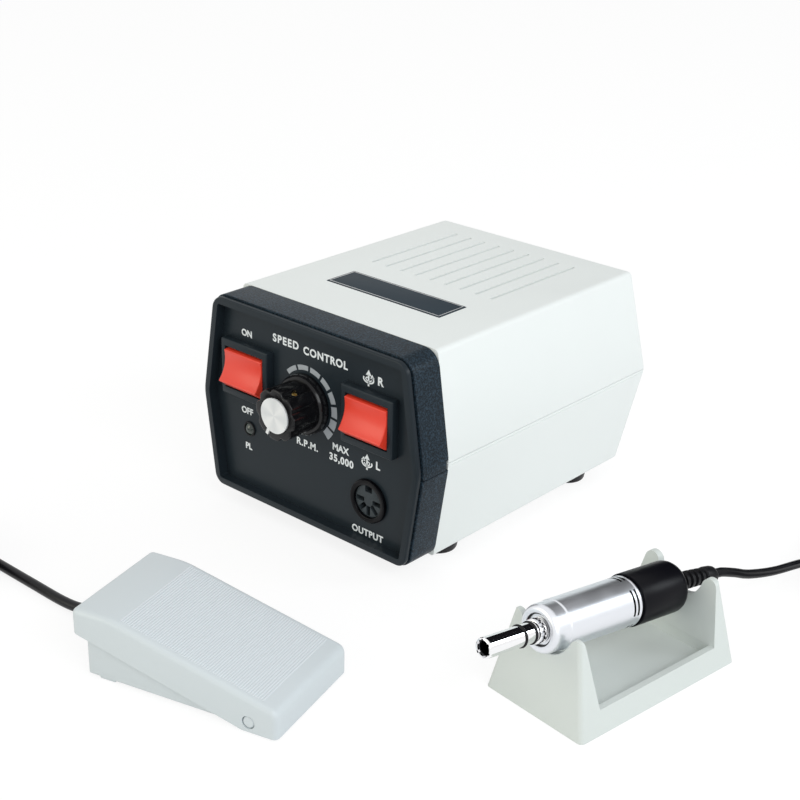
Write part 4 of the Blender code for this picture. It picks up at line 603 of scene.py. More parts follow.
back_place = (box_place @ Matrix.Translation((0, bottom_back, 0))
              @ Matrix.Rotation(-back_lean, 4, "X"))
fitting_z = 22 * mm
for low_x, high_x, half_z in ((-48.05 * mm, -19.95 * mm, 10.3 * mm), (30.7 * mm, 45.3 * mm, 4.0 * mm)):
    carve(lower_shell, "DIFFERENCE", make("wall_opening", brick(
        (low_x, -5 * mm, fitting_z - half_z), (high_x, 3 * mm, fitting_z + half_z)), back_place))


def out_of_wall(x):
    return back_place @ Matrix.Translation((x, 0, fitting_z)) @ Matrix.Rotation(-math.pi / 2, 4, "X")


fuse_x, jack_x = -6 * mm, 14 * mm
for hole_x, radius in ((fuse_x, 4.8 * mm), (jack_x, 3.9 * mm)):
    carve(lower_shell, "DIFFERENCE", make("wall_hole", rod(radius, -5 * mm, 3 * mm), out_of_wall(hole_x)))
for post_x in (-32 * mm, 32 * mm):
    for post_y in (36 * mm, 72 * mm):
        carve(lower_shell, "UNION", make("board_post", rod(3.2 * mm, 1.2 * mm, 8.5 * mm, 32),
                                         box_place @ Matrix.Translation((post_x, post_y, 0))))
fit(lower_shell, "set_base", "white_shell", "lower_shell")

# Lid plate
# A thin plain plate of slate-coloured plastic with a pale line round its edge. It lies in a
# shallow seat in the lid.
slate = plastic("panel_slate", (0.015, 0.022, 0.028), 0.32, 2600, 0.06, tint=0.12, sheen=0.16)
plate_slate = plastic("lid_plate_slate", (0.040, 0.054, 0.067), 0.50, 2600, 0.05, tint=0.04, sheen=0.04)
plate_rim = metal("lid_plate_rim", (0.75, 0.76, 0.76), 0.30)
name_plate = make("lid_plate", soften(brick(
    (-plate_half, plate_front, box_height - 0.5 * mm), (plate_half, plate_back, box_height + 0.2 * mm)),
    0.15 * mm, 2), box_place, plate_slate)
fit(name_plate, "set_base", "lid_plate", "name_plate")
line_half, line_front, line_back, line_width = 31.7 * mm, 45.6 * mm, 61.7 * mm, 0.35 * mm
rim = make("lid_plate_line", brick((-line_half, line_front, box_height + 0.1 * mm),
                                   (line_half, line_back, box_height + 0.24 * mm)), box_place, plate_rim)
carve(rim, "DIFFERENCE", make("rim_inside", brick(
    (line_width - line_half, line_front + line_width, box_height),
    (line_half - line_width, line_back - line_width, box_height + 1 * mm)), box_place))
fit(rim, "set_base", "lid_plate")

# Front band
# Black band round the front of the case in two halves, moulded with a coarse leather grain. A
# small notch in its back edge lets the seam of the white shells show on each side.
# The peaks of the band's grain are lightened as painted sparkle highlights.
band_black = plastic("band_black", (0.006, 0.011, 0.016), 0.42, 1600, 1.0, clump=0.7, tint=0.30, sheen=0.16,
                     peak_sparkle=0.75)
band_front, band_back, band_wall = 1.5 * mm, 16.7 * mm, 1.9 * mm
corner_radii = ((0, 6.0 * mm), (seam_z, 4.0 * mm), (box_height, 6.8 * mm))


def push_out(form, faces, way):
    pushed = bmesh.ops.extrude_face_region(form, geom=faces)
    bmesh.ops.translate(form, vec=way,
                        verts=[item for item in pushed["geom"] if isinstance(item, bmesh.types.BMVert)])
    bmesh.ops.recalc_face_normals(form, faces=form.faces)


def pushed_plate(corners, way):
    form = bmesh.new()
    push_out(form, [form.faces.new([form.verts.new(corner) for corner in corners])], way)
    return form


def six_sided(margin, front, back):
    form = bmesh.new()
    corners = [(-bottom_half, 0), (bottom_half, 0), (seam_half, seam_z), (top_half, box_height),
               (-top_half, box_height), (-seam_half, seam_z)]
    face = form.faces.new([form.verts.new((x, front, z)) for x, z in corners])
    form.normal_update()
    if margin:
        rim_faces = bmesh.ops.inset_region(form, faces=[face], thickness=margin, use_even_offset=True,
                                           use_boundary=True)
        bmesh.ops.delete(form, geom=rim_faces["faces"], context="FACES")
    push_out(form, form.faces[:], (0, back - front, 0))
    for height, radius in corner_radii:
        soften(form, max(radius - 1.6 * margin, 1 * mm), 8,
               lambda a, b: abs(a.y - b.y) > 0.5 * mm
               and abs(a.z - height) < margin + 1 * mm and abs(b.z - height) < margin + 1 * mm, 5)
    return form


def at_front(y):
    return lambda a, b: max(a.y, b.y) < y + 0.05 * mm


for half, split_z, kept in (("upper", 42.35 * mm, 1), ("lower", 42.05 * mm, -1)):
    band_form = six_sided(0, band_front, band_back)
    bmesh.ops.delete(band_form, geom=[face for face in band_form.faces if abs(face.normal.y) > 0.9],
                     context="FACES")
    bmesh.ops.bisect_plane(band_form, geom=band_form.verts[:] + band_form.edges[:] + band_form.faces[:],
                           plane_co=(0, 0, split_z), plane_no=(0, 0, -kept), clear_outer=True)
    bmesh.ops.solidify(band_form, geom=band_form.faces[:], thickness=band_wall)
    bmesh.ops.recalc_face_normals(band_form, faces=band_form.faces)
    soften(band_form, 0.8 * mm, 4, at_front(band_front))
    band = make("band_" + half, band_form, box_place, band_black)
    if half == "upper":
        carve(band, "DIFFERENCE", make("band_notch", brick(
            (-70 * mm, 15.5 * mm, 41 * mm), (70 * mm, 19 * mm, 46.5 * mm)), box_place))
    fit(band, "set_base", "black_band", "bezel_" + half)

# Front panel
# Dark slate moulding with a rolled rim, a flat recessed face and a raised block round each rocker.
pad_z = 59.3 * mm
pads = (-37.8 * mm, 34.0 * mm)
rim_front, rim_back, face_y, panel_back = -1.2 * mm, 0.8 * mm, 3.5 * mm, 6.0 * mm
rim_margin, tray_margin, recess_margin = 0.9 * mm, 2.2 * mm, 4.2 * mm
panel_form = six_sided(rim_margin, rim_front, rim_back)
soften(panel_form, 0.8 * mm, 4, at_front(rim_front))
front_panel = make("front_panel_moulding", panel_form, box_place, slate)
carve(front_panel, "UNION", make("panel_tray", six_sided(tray_margin, 0.3 * mm, panel_back), box_place))
carve(front_panel, "DIFFERENCE", make("panel_recess", six_sided(recess_margin, -4 * mm, face_y), box_place))


def pad_brick(pad_x, half_x, half_z, front, back):
    return brick((pad_x - half_x, front, pad_z - half_z), (pad_x + half_x, back, pad_z + half_z))


for pad_x in pads:
    block_form = soften(pad_brick(pad_x, 14.25 * mm, 12.9 * mm, -0.5 * mm, 4.5 * mm), 0.8 * mm, 3)
    carve(front_panel, "UNION", make("rocker_block", block_form, box_place))
for pad_x in pads:
    opening = pad_brick(pad_x, 11.7 * mm, 9.6 * mm, -4 * mm, 8 * mm)
    carve(front_panel, "DIFFERENCE", make("rocker_opening", opening, box_place))
face_out = box_place @ Matrix.Translation((0, face_y, 0)) @ Matrix.Rotation(math.pi / 2, 4, "X")


def on_face(x, z):
    return face_out @ Matrix.Translation((x, z, 0))


dial_x, dial_z = -3.4 * mm, 54.8 * mm
lamp_x, lamp_z = -38.6 * mm, 31.5 * mm
socket_x, socket_z = 33.1 * mm, 22.1 * mm
for hole_x, hole_z, radius in ((dial_x, dial_z, 4.7 * mm), (lamp_x, lamp_z, 3.0 * mm),
                               (socket_x, socket_z, 8.5 * mm)):
    carve(front_panel, "DIFFERENCE", make("panel_hole", rod(radius, -5 * mm, 2 * mm),
                                          on_face(hole_x, hole_z)))
fit(front_panel, "set_base", "slate_panel", "front_panel")

# Printed legends
# White ink on the panel: plain words and numbers, and a broken silver ring round the dial whose
# blocks grow wider towards the high end.
ink_white = plastic("ink_white", (0.84, 0.88, 0.90), 0.45, 3000, 0.02)
ink_silver = plastic("ink_silver", (0.38, 0.41, 0.44), 0.38, 3000, 0.02, tint=0.10)


ink_depth, bold_share = 0.03 * mm, 0.034


def words(name, text, size, x, z, spacing=1.0):
    letters = bpy.data.curves.new(name, "FONT")
    letters.body = text
    letters.size = size
    letters.align_x = "CENTER"
    letters.align_y = "CENTER"
    letters.space_character = spacing
    letters.offset = bold_share * size
    letters.extrude = ink_depth
    guide = bpy.data.objects.new(name, letters)
    bpy.context.scene.collection.objects.link(guide)
    graph = bpy.context.evaluated_depsgraph_get()
    mesh = bpy.data.meshes.new_from_object(guide.evaluated_get(graph))
    bpy.data.objects.remove(guide)
    mesh.transform(on_face(x, z) @ Matrix.Translation((0, 0, ink_depth)))
    mesh.materials.clear()
    mesh.materials.append(ink_white)
    piece = bpy.data.objects.new(name, mesh)
    bpy.context.scene.collection.objects.link(piece)
    return fit(piece, "set_base", "slate_panel")


words("legend_on", "ON", 4.1 * mm, -39.6 * mm, 75.9 * mm)
words("legend_off", "OFF", 4.1 * mm, -40.2 * mm, 39.5 * mm)
words("legend_lamp", "PL", 4.1 * mm, -39.7 * mm, 22.6 * mm)
words("legend_speed", "SPEED", 4.8 * mm, -15.8 * mm, 78.7 * mm, 1.25)
words("legend_dial", "CONTROL", 4.8 * mm, 7.3 * mm, 78.0 * mm, 1.15)
words("legend_units", "R.P.M.", 4.4 * mm, -3.2 * mm, 35.6 * mm, 1.15)
words("legend_max", "MAX", 4.3 * mm, 16.3 * mm, 39.9 * mm)
words("legend_number", "35,000", 4.5 * mm, 16.8 * mm, 34.8 * mm, 1.15)
words("legend_right", "R", 5.0 * mm, 38.0 * mm, 76.6 * mm)
words("legend_left", "L", 4.8 * mm, 37.4 * mm, 39.2 * mm)
words("legend_output", "OUTPUT", 4.2 * mm, 32.2 * mm, 6.3 * mm, 1.1)


def ring_block(name, start, end, inner, outer, material):
    form = bmesh.new()
    first, last = math.radians(start), math.radians(end)
    verts = [form.verts.new((radius * math.cos(first), radius * math.sin(first), 0))
             for radius in (inner, outer)]
    edge = form.edges.new(verts)
    bmesh.ops.spin(form, geom=[edge], cent=(0, 0, 0), axis=(0, 0, 1), dvec=(0, 0, 0), angle=last - first,
                   steps=12, use_merge=False, use_normal_flip=False, use_duplicate=False)
    bmesh.ops.solidify(form, geom=form.faces[:], thickness=0.06 * mm)
    bmesh.ops.recalc_face_normals(form, faces=form.faces)
    piece = make(name, form, on_face(dial_x + 0.3 * mm, dial_z - 0.3 * mm), material)
    return fit(piece, "set_base", "slate_panel")


block_edges = (138, 112, 86, 61, 37, 14, -8, -29, -48)
half_break = 2.2
inner_radius, outer_radius, widest_inward, widest_outward = 14.9 * mm, 17.0 * mm, 1.4 * mm, 0.55 * mm
for number, (start, end) in enumerate(zip(block_edges, block_edges[1:])):
    share = number / (len(block_edges) - 2)
    ring_block("dial_block_%d" % number, start - half_break, end + half_break,
               inner_radius - widest_inward * share ** 2, outer_radius + widest_outward * share ** 1.5,
               ink_silver)
loops = ((2.75 * mm, 1.6 * mm, 0.68 * mm, -205, 50), (1.5 * mm, 0.85 * mm, 0.5 * mm, -250, 0))
loop_drop = 0.4 * mm
loop_steps = 32
arrow_shaft = ((-0.42, -3.4), (0.42, -3.4), (0.42, 1.6), (-0.42, 1.6))
arrow_tip = ((-1.5, 1.3), (1.5, 1.3), (0, 3.7))
loop_tip = ((0.9, 0.1), (3.2, 0.5), (1.8, 2.1))
for name, x, z, flip in (("turn_right", 31.6 * mm, 76.4 * mm, 1), ("turn_left", 31.4 * mm, 39.1 * mm, -1)):
    form = bmesh.new()
    for width, height, line, first, last in loops:
        pairs = []
        for step in range(loop_steps + 1):
            angle = math.radians(first + (last - first) * step / loop_steps)
            pairs.append([form.verts.new((flip * (width + side) * math.cos(angle),
                                          (height + side) * math.sin(angle) - loop_drop, 0))
                          for side in (-line / 2, line / 2)])
        for (a, b), (c, d) in zip(pairs, pairs[1:]):
            form.faces.new((a, b, d, c))
    for outline in (arrow_shaft, arrow_tip, loop_tip):
        form.faces.new([form.verts.new((flip * across * mm, up * mm, 0)) for across, up in outline])
    bmesh.ops.recalc_face_normals(form, faces=form.faces)
    bmesh.ops.solidify(form, geom=form.faces[:], thickness=0.05 * mm)
    for vert in form.verts:
        vert.co.z = abs(vert.co.z)
    bmesh.ops.recalc_face_normals(form, faces=form.faces)
    fit(make(name, form, on_face(x, z), ink_white), "set_base", "slate_panel")

# Rocker switches
# Red rockers with a shallow dish across the front, on trunnions in the raised blocks. Each has a
# tongue that works the black switch body behind the panel.
rocker_red = plastic("rocker_red", (0.80, 0.050, 0.024), 0.34, 1800, 0.10, tint=0.05)
switch_black = plastic("switch_black", (0.014, 0.014, 0.016), 0.45, 1500, 0.2, sheen=0.2)
rocker_half = 11.4 * mm


def paint(material, *nodes):
    for node in nodes:
        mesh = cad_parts[node].data
        mesh.materials.clear()
        mesh.materials.append(material)


for side, pad_x in zip(("power", "direction"), pads):
    pivot = box_place @ Matrix.Translation((pad_x, 2.0 * mm, pad_z))
    tilt = pivot @ Matrix.Rotation(math.radians(-15), 4, "X")
    dish = [(-(3.6 + 1.8 * (step / 8) ** 2) * mm, -7.0 * step / 8 * mm) for step in range(-8, 9)]
    outline = [(0, 9.3 * mm), *dish, (0, -9.3 * mm), (2.0 * mm, -7.9 * mm), (2.0 * mm, -2.2 * mm),
               (7.5 * mm, -1.2 * mm), (7.5 * mm, 1.2 * mm), (2.0 * mm, 2.2 * mm), (2.0 * mm, 7.9 * mm)]
    form = pushed_plate([(-rocker_half, y, z) for y, z in outline], (2 * rocker_half, 0, 0))
    rocker = make(side + "_rocker_moulding", soften(form, 0.45 * mm, 3), tilt, rocker_red)
    carve(rocker, "UNION", make("trunnion", rod(1.5 * mm, -12.9 * mm, 12.9 * mm, 48),
                                pivot @ Matrix.Rotation(math.pi / 2, 4, "Y")))
    fit(rocker, side + "_rocker", "rocker_red", side + "_rocker")
    paint(switch_black, side + "_switch_body")

# Speed knob
# Glossy black moulded knob with eight scallops and a wide skirt, a spun aluminium disc with a
# pointer set in its face, and a brass set screw in its flank.
knob_gloss = plastic("knob_gloss", (0.005, 0.005, 0.006), 0.16, 1200, 0.03, tint=0.15, sheen=0.28)
dial_place = on_face(dial_x, dial_z)
skirt = lathe([(0, 0.3 * mm), (13.1 * mm, 0.3 * mm), (13.2 * mm, 0.6 * mm), (13.2 * mm, 3.4 * mm),
               (12.9 * mm, 4.2 * mm), (12.3 * mm, 4.9 * mm), (11.7 * mm, 5.0 * mm), (0, 5.0 * mm)], 128)
knob = make("speed_knob_moulding", skirt, dial_place, knob_gloss)
screw_turn = math.radians(63)
scallops, scallop_depth = 8, 1.25 * mm
lobe_radius, lobe_low, lobe_height, lobe_steps = 11.35 * mm, 4.0 * mm, 14.5 * mm, 192
lobes = []
for step in range(lobe_steps):
    angle = math.tau * step / lobe_steps
    hollow = max(0.0, math.cos(scallops * (angle - screw_turn)))
    radius = lobe_radius - scallop_depth * hollow ** 1.3
    lobes.append((radius * math.cos(angle), radius * math.sin(angle), lobe_low))
form = pushed_plate(lobes, (0, 0, lobe_height))
bmesh.ops.bevel(form, geom=[edge for edge in form.edges
                            if min(vert.co.z for vert in edge.verts) > 18 * mm], offset=0.5 * mm,
                offset_type="OFFSET", segments=3, profile=0.5, affect="EDGES", clamp_overlap=True,
                material=-1)
carve(knob, "UNION", make("knob_lobes", form, dial_place))
carve(knob, "DIFFERENCE", make("knob_back", rod(7 * mm, -1 * mm, 4.5 * mm), dial_place),
      make("knob_bore", rod(3.3 * mm, 0, 14.3 * mm), dial_place))
flank = dial_place @ Matrix.Translation((0, 0, 11.5 * mm)) @ Matrix.Rotation(screw_turn, 4, "Z")
toward_flank = flank @ Matrix.Rotation(math.pi / 2, 4, "Y")
carve(knob, "DIFFERENCE", make("screw_hole", rod(1.5 * mm, 2 * mm, 13 * mm, 40), toward_flank))
pointer_turn = math.radians(244)
disc_radius, pointer_reach, pointer_half = 7.7 * mm, 10.2 * mm, 0.7 * mm


def disc_with_pointer(margin, low, high):
    disc = make("disc", rod(disc_radius + margin, low, high, 160), dial_place)
    tick = brick((0, -pointer_half - margin, low), (pointer_reach + margin, pointer_half + margin, high))
    return carve(disc, "UNION", make("pointer", tick, dial_place @ Matrix.Rotation(pointer_turn, 4, "Z")))


carve(knob, "DIFFERENCE", disc_with_pointer(0.3 * mm, 17.9 * mm, 20 * mm))
fit(knob, "speed_dial", "knob_black", "speed_knob")


def fan_highlight_disc():
    material, nodes, links, shader = new_material("fan_highlight_disc")
    shader.inputs["Metallic"].default_value = 0.2
    shader.inputs["Roughness"].default_value = 0.30
    place = nodes.new("ShaderNodeTexCoord")
    centre = nodes.new("ShaderNodeMapping")
    middle = dial_place.translation
    centre.inputs["Location"].default_value = (-middle.x, 0, -middle.z)
    links.new(place.outputs["Object"], centre.inputs["Vector"])
    split = nodes.new("ShaderNodeSeparateXYZ")
    links.new(centre.outputs["Vector"], split.inputs["Vector"])
    turn = nodes.new("ShaderNodeMath")
    turn.operation = "ARCTAN2"
    links.new(split.outputs["Z"], turn.inputs[0])
    links.new(split.outputs["X"], turn.inputs[1])
    # The fourfold light and dark fan across the disc is a painted highlight: it stands for the lamps'
    # reflection in the disc's spun finish.
    fourfold = nodes.new("ShaderNodeMath")
    fourfold.operation = "MULTIPLY"
    fourfold.inputs[1].default_value = 4
    links.new(turn.outputs["Value"], fourfold.inputs[0])
    fan_highlight_wave = nodes.new("ShaderNodeMath")
    fan_highlight_wave.operation = "COSINE"
    links.new(fourfold.outputs["Value"], fan_highlight_wave.inputs[0])
    ramp = nodes.new("ShaderNodeMapRange")
    ramp.inputs["From Min"].default_value = -1
    links.new(fan_highlight_wave.outputs["Value"], ramp.inputs["Value"])
    mix = nodes.new("ShaderNodeMix")
    mix.data_type = "RGBA"
    mix.inputs["A"].default_value = (0.93, 0.94, 0.94, 1)
    mix.inputs["B"].default_value = (0.80, 0.82, 0.83, 1)
    links.new(ramp.outputs["Result"], mix.inputs["Factor"])
    links.new(mix.outputs["Result"], shader.inputs["Base Color"])
    return material


cap = disc_with_pointer(0, 18.2 * mm, 19.1 * mm)
cap.name = "knob_cap_disc"
cap.data.materials.append(fan_highlight_disc())
fit(cap, "speed_dial", "cap_silver", "knob_cap")
screw_form = soften(rod(1.2 * mm, 3.4 * mm, 9.9 * mm, 40), 0.15 * mm)
screw = make("set_screw_brass", screw_form, toward_flank, brass)
carve(screw, "DIFFERENCE", make("driver_slot", brick(
    (-0.3 * mm, -2 * mm, 9.2 * mm), (0.3 * mm, 2 * mm, 11 * mm)), toward_flank))
fit(screw, "speed_dial", "brass", "knob_set_screw")
shaft = soften(rod(2.9 * mm, -9 * mm, 14 * mm, 48), 0.3 * mm)
fit(make("speed_shaft_turned", shaft, dial_place, turned_steel), "speed_dial", "steel", "speed_shaft")
paint(switch_black, "speed_pot_body")

# Pilot lamp
# A small domed lens moulded in dark green plastic, held in a thin black rim. It sits through the
# panel below the power switch.
lens_green = plastic("lens_green", (0.002, 0.014, 0.007), 0.08, 900, 0.02, tint=0.4, coat=0.6)
lamp_place = on_face(lamp_x, lamp_z)
lamp = make("pilot_lamp_lens", lathe([
    (0, 1.75 * mm), (0.9 * mm, 1.65 * mm), (1.7 * mm, 1.25 * mm), (2.3 * mm, 0.75 * mm),
    (2.6 * mm, 0.45 * mm), (2.6 * mm, 0.3 * mm), (2.7 * mm, 0.3 * mm), (2.7 * mm, -9 * mm),
    (0, -9 * mm)], 64), lamp_place, lens_green)
fit(lamp, "set_base", "lamp_green", "pilot_lamp")
lamp_rim = make("pilot_lamp_rim", lathe([
    (2.85 * mm, 0.3 * mm), (3.4 * mm, 0.3 * mm), (3.4 * mm, 0.55 * mm), (3.2 * mm, 0.8 * mm),
    (2.95 * mm, 0.8 * mm), (2.75 * mm, 0.6 * mm), (2.75 * mm, 0.35 * mm), (2.85 * mm, 0.3 * mm)], 64),
    lamp_place, moulded_black)
fit(lamp_rim, "set_base", "lamp_green")

# Output socket
# Black moulded shell through the panel, with a sunken dark grey insert: a keyway at the top and
# five contact slots in a half circle below.
socket_black = plastic("socket_black", (0.002, 0.002, 0.003), 0.26, 1500, 0.05, tint=0.2, sheen=0.12)
insert_grey = plastic("insert_grey", (0.038, 0.048, 0.054), 0.42, 1600, 0.12, tint=0.12, sheen=0.2)
socket_place = on_face(socket_x, socket_z)
socket_shell = make("output_shell_moulding", lathe([
    (7.3 * mm, -14 * mm), (8.2 * mm, -14 * mm), (8.2 * mm, 0.3 * mm), (9.7 * mm, 0.3 * mm),
    (9.7 * mm, 0.9 * mm), (9.5 * mm, 1.5 * mm), (9.1 * mm, 1.8 * mm), (7.9 * mm, 1.8 * mm),
    (7.5 * mm, 1.6 * mm), (7.3 * mm, 1.2 * mm), (7.3 * mm, -14 * mm)], 128), socket_place, socket_black)
fit(socket_shell, "set_base", "black_plastic", "output_socket_shell")
insert = make("output_insert_moulding", soften(rod(7.2 * mm, -10 * mm, 0.7 * mm, 128), 0.25 * mm, 2),
              socket_place, insert_grey)
key = brick((-1.9 * mm, 3.9 * mm, -9 * mm), (1.9 * mm, 8 * mm, 2 * mm))
carve(insert, "DIFFERENCE", make("key", soften(key, 0.3 * mm, 2), socket_place))
for number in range(contacts):
    radial = socket_place @ Matrix.Rotation(math.pi + math.pi * number / (contacts - 1), 4, "Z")
    slot = soften(brick((2.3 * mm, -1.05 * mm, -9 * mm), (6.8 * mm, 1.05 * mm, 2 * mm)), 0.4 * mm, 2,
                  lambda a, b: abs(a.z - b.z) > 3 * mm)
    carve(insert, "DIFFERENCE", make("contact_slot", slot, radial))
fit(insert, "set_base", "insert_grey", "output_socket_insert")

# Feet
# Four feet moulded in black rubber under the control box, set in from its corners, each with a
# shallow recess in its sole.
for side, foot_x in (("left", -44 * mm), ("right", 44 * mm)):
    for end, foot_y in (("front", 35 * mm), ("back", 128 * mm)):
        form = lathe([(0, 6.7 * mm), (9.5 * mm, 6.7 * mm), (9.4 * mm, 5.9 * mm), (8.6 * mm, 1.0 * mm),
                      (8.2 * mm, 0.3 * mm), (7.7 * mm, 0), (2.4 * mm, 0), (2.2 * mm, 1.8 * mm),
                      (0, 1.8 * mm)], 72)
        place = box_place @ Matrix.Translation((foot_x, foot_y, -7 * mm))
        fit(make("rubber_foot_%s_%s" % (end, side), form, place, moulded_black), "set_base",
            "black_rubber", "foot_%s_%s" % (end, side))

# Back wall fittings
# Mains inlet, fuse cap, foot switch socket and hand/foot selector, in black plastic and steel, all
# mounted in the back wall of the lower shell.
fitting_black = plastic("fitting_black", (0.010, 0.010, 0.012), 0.38, 1400, 0.12, tint=0.15, sheen=0.3)
inlet = make("mains_inlet_moulding", soften(brick(
    (-49.5 * mm, 0.3 * mm, 10 * mm), (-18.5 * mm, 1.8 * mm, 34 * mm)), 0.6 * mm, 3), back_place,
    fitting_black)
carve(inlet, "UNION", make("inlet_body", brick((-47.75 * mm, -16 * mm, 12 * mm),
                                               (-20.25 * mm, 1 * mm, 32 * mm)), back_place))
cavity = brick((-46 * mm, -14 * mm, 13.75 * mm), (-22 * mm, 4 * mm, 30.25 * mm))
soften(cavity, 3.0 * mm, 4, lambda a, b: abs(a.y - b.y) > 5 * mm and min(a.z, b.z) > 20 * mm)
carve(inlet, "DIFFERENCE", make("inlet_cavity", cavity, back_place))
fit(inlet, "set_base", "black_plastic", "mains_inlet")
blade_spots = ((-41 * mm, 20.25 * mm), (-34 * mm, 23.75 * mm), (-27 * mm, 20.25 * mm))
for number, (pin_x, pin_z) in enumerate(blade_spots):
    blade = soften(brick((pin_x - 1 * mm, -14.5 * mm, pin_z - 2 * mm),
                         (pin_x + 1 * mm, -5 * mm, pin_z + 2 * mm)), 0.35 * mm)
    fit(make("inlet_blade_%d" % number, blade, back_place, turned_steel), "set_base", "steel")
fuse_place = out_of_wall(fuse_x)
fuse = make("fuse_cap_moulding", lathe([
    (0, 6.3 * mm), (5.4 * mm, 6.3 * mm), (6.1 * mm, 5.8 * mm), (6.3 * mm, 5.0 * mm), (6.3 * mm, 0.3 * mm),
    (4.5 * mm, 0.3 * mm), (4.5 * mm, -14 * mm), (0, -14 * mm)], 96), fuse_place, fitting_black)
fuse_slot = brick((-8 * mm, -0.7 * mm, 4.6 * mm), (8 * mm, 0.7 * mm, 8 * mm))
grip_lines = 18
carve(fuse, "DIFFERENCE", make("fuse_slot", fuse_slot, fuse_place),
      *[make("grip_line", rod(0.35 * mm, 1 * mm, 5.2 * mm, 12),
             round_axis(fuse_place, number, grip_lines, 6.4 * mm)) for number in range(grip_lines)])
fit(fuse, "fuse_cap", "black_plastic", "fuse_cap")
foot_socket = make("foot_socket_turned", lathe([
    (1.9 * mm, -12 * mm), (3.6 * mm, -12 * mm), (3.6 * mm, 0.3 * mm), (5.5 * mm, 0.3 * mm),
    (5.5 * mm, 1.9 * mm), (5.2 * mm, 2.2 * mm), (2.3 * mm, 2.2 * mm), (1.9 * mm, 1.8 * mm),
    (1.9 * mm, -12 * mm)], 96), out_of_wall(jack_x), turned_steel)
fit(foot_socket, "set_base", "steel", "foot_socket")
selector = make("selector_moulding", soften(brick(
    (28 * mm, 0.3 * mm, 17 * mm), (48 * mm, 1.5 * mm, 27 * mm)), 0.4 * mm, 2), back_place, fitting_black)
carve(selector, "UNION", make("selector_housing", brick(
    (31 * mm, -8 * mm, 18.3 * mm), (45 * mm, 0.9 * mm, 25.7 * mm)), back_place))
carve(selector, "DIFFERENCE", make("selector_slot", brick(
    (33.5 * mm, -5 * mm, 20 * mm), (42.5 * mm, 4 * mm, 24 * mm)), back_place))
fit(selector, "set_base", "black_plastic", "selector_body")
lever_form = soften(brick((33.8 * mm, -4.7 * mm, 20.3 * mm), (38.2 * mm, 4.0 * mm, 23.7 * mm)), 0.5 * mm, 3)
lever = make("selector_lever_moulding", lever_form, back_place, fitting_black)
rib_first, rib_gap, rib_step = 34.5 * mm, 0.6 * mm, 1.3 * mm
carve(lever, "DIFFERENCE", *[
    make("lever_rib", brick((rib_first + number * rib_step, 3.6 * mm, 19 * mm),
                            (rib_first + rib_gap + number * rib_step, 5 * mm, 25 * mm)), back_place)
    for number in range(3)])
fit(lever, "selector_lever", "black_plastic", "selector_lever")

# Parts inside the box
# A laminated steel transformer core with its copper winding, and a green circuit board. They show
# only through the air slots.
iron = metal("lamination_iron", (0.24, 0.24, 0.25), 0.45, 0.3, (0, 1, 0), 2000)
copper = metal("winding_copper", (0.62, 0.26, 0.12), 0.35, 0.5, (0, 0, 1), 2000)
board_green = plastic("board_green", (0.02, 0.16, 0.07), 0.40, 700, 0.3, tint=0.3)
paint(iron, "transformer_core")
paint(copper, "transformer_winding")
paint(board_green, "circuit_board")

# Foot pedal
# Pale blue-grey treadle over a pale base, both injection moulded. The treadle has fine cross ribs
# on its slope, plain borders and soft front corners, and turns on a pin near the toe end whose
# pale grey head shows on each side.
pedal_place = Matrix.Translation((-0.0539, -0.1227, 0)) @ Matrix.Rotation(math.radians(15.0), 4, "Z")
slope_start, slope_end = 16.9 * mm, 86.5 * mm
high, low = 28.2 * mm, 11.6 * mm
slope = (high - low) / (slope_end - slope_start)
pale_grey = plastic("pale_grey", (0.625, 0.68, 0.705), 0.44, 1400, 0.06, tint=0.01)


def side_block(outline, half):
    return pushed_plate([(u, -half, w) for u, w in outline], (0, 2 * half, 0))


def crossways(a, b):
    return abs(a.y - b.y) > 5 * mm


bend = 4 * mm


def top_height(along):
    past = along - slope_start
    if abs(past) < bend:
        return high - slope * (past + bend) ** 2 / (4 * bend)
    return high - slope * max(past, 0)


toe_radius = 3.6 * mm
toe_x = slope_end - toe_radius
toe_z = high + slope * (slope_start - toe_x) - toe_radius * math.hypot(1, slope)
toe = [(toe_x + toe_radius * math.cos(turn), toe_z + toe_radius * math.sin(turn))
       for turn in [(math.pi / 2 - math.atan(slope)) * step / 6 for step in range(7)]]
crease = [slope_start + bend * step / 3 for step in (3, 2, 1, 0, -1, -2, -3)]
treadle_form = side_block([(0, 18.3 * mm), (69 * mm, 1.3 * mm), (72 * mm, 0.5 * mm), (86.5 * mm, 0.5 * mm),
                           *toe, *[(along, top_height(along)) for along in crease], (0, high)], 25 * mm)


def on_top(place):
    return place.z > top_height(place.x) - 0.05 * mm


def on_rim(a, b):
    at_toe = min(a.x, b.x) > toe_x - 0.1 * mm and max(a.z, b.z) > 2 * mm
    at_heel = max(a.x, b.x) < 0.1 * mm and abs(a.z - b.z) > 5 * mm
    return at_toe or at_heel or on_top(a) and on_top(b)


soften(treadle_form, 2.2 * mm, 6, on_rim)
treadle = make("treadle_moulding", treadle_form, pedal_place, pale_grey)
inner_form = side_block([(1.6 * mm, -5 * mm), (84.9 * mm, -5 * mm), (84.9 * mm, low - 1.2 * mm),
                         (slope_start + 0.2 * mm, high - 1.6 * mm), (1.6 * mm, high - 1.6 * mm)], 23.4 * mm)
soften(inner_form, 1.2 * mm, 4, lambda a, b: not crossways(a, b) and min(a.x, b.x) > 84 * mm
       and abs(a.z - b.z) > 5 * mm)
carve(treadle, "DIFFERENCE", make("treadle_inside", inner_form, pedal_place))
pin_place = pedal_place @ Matrix.Translation((75 * mm, 0, 4.4 * mm)) @ Matrix.Rotation(math.pi / 2, 4, "X")
carve(treadle, "DIFFERENCE", make("pin_holes", rod(2.6 * mm, -28 * mm, 28 * mm), pin_place))
fit(treadle, "treadle", "treadle_grey", "treadle")
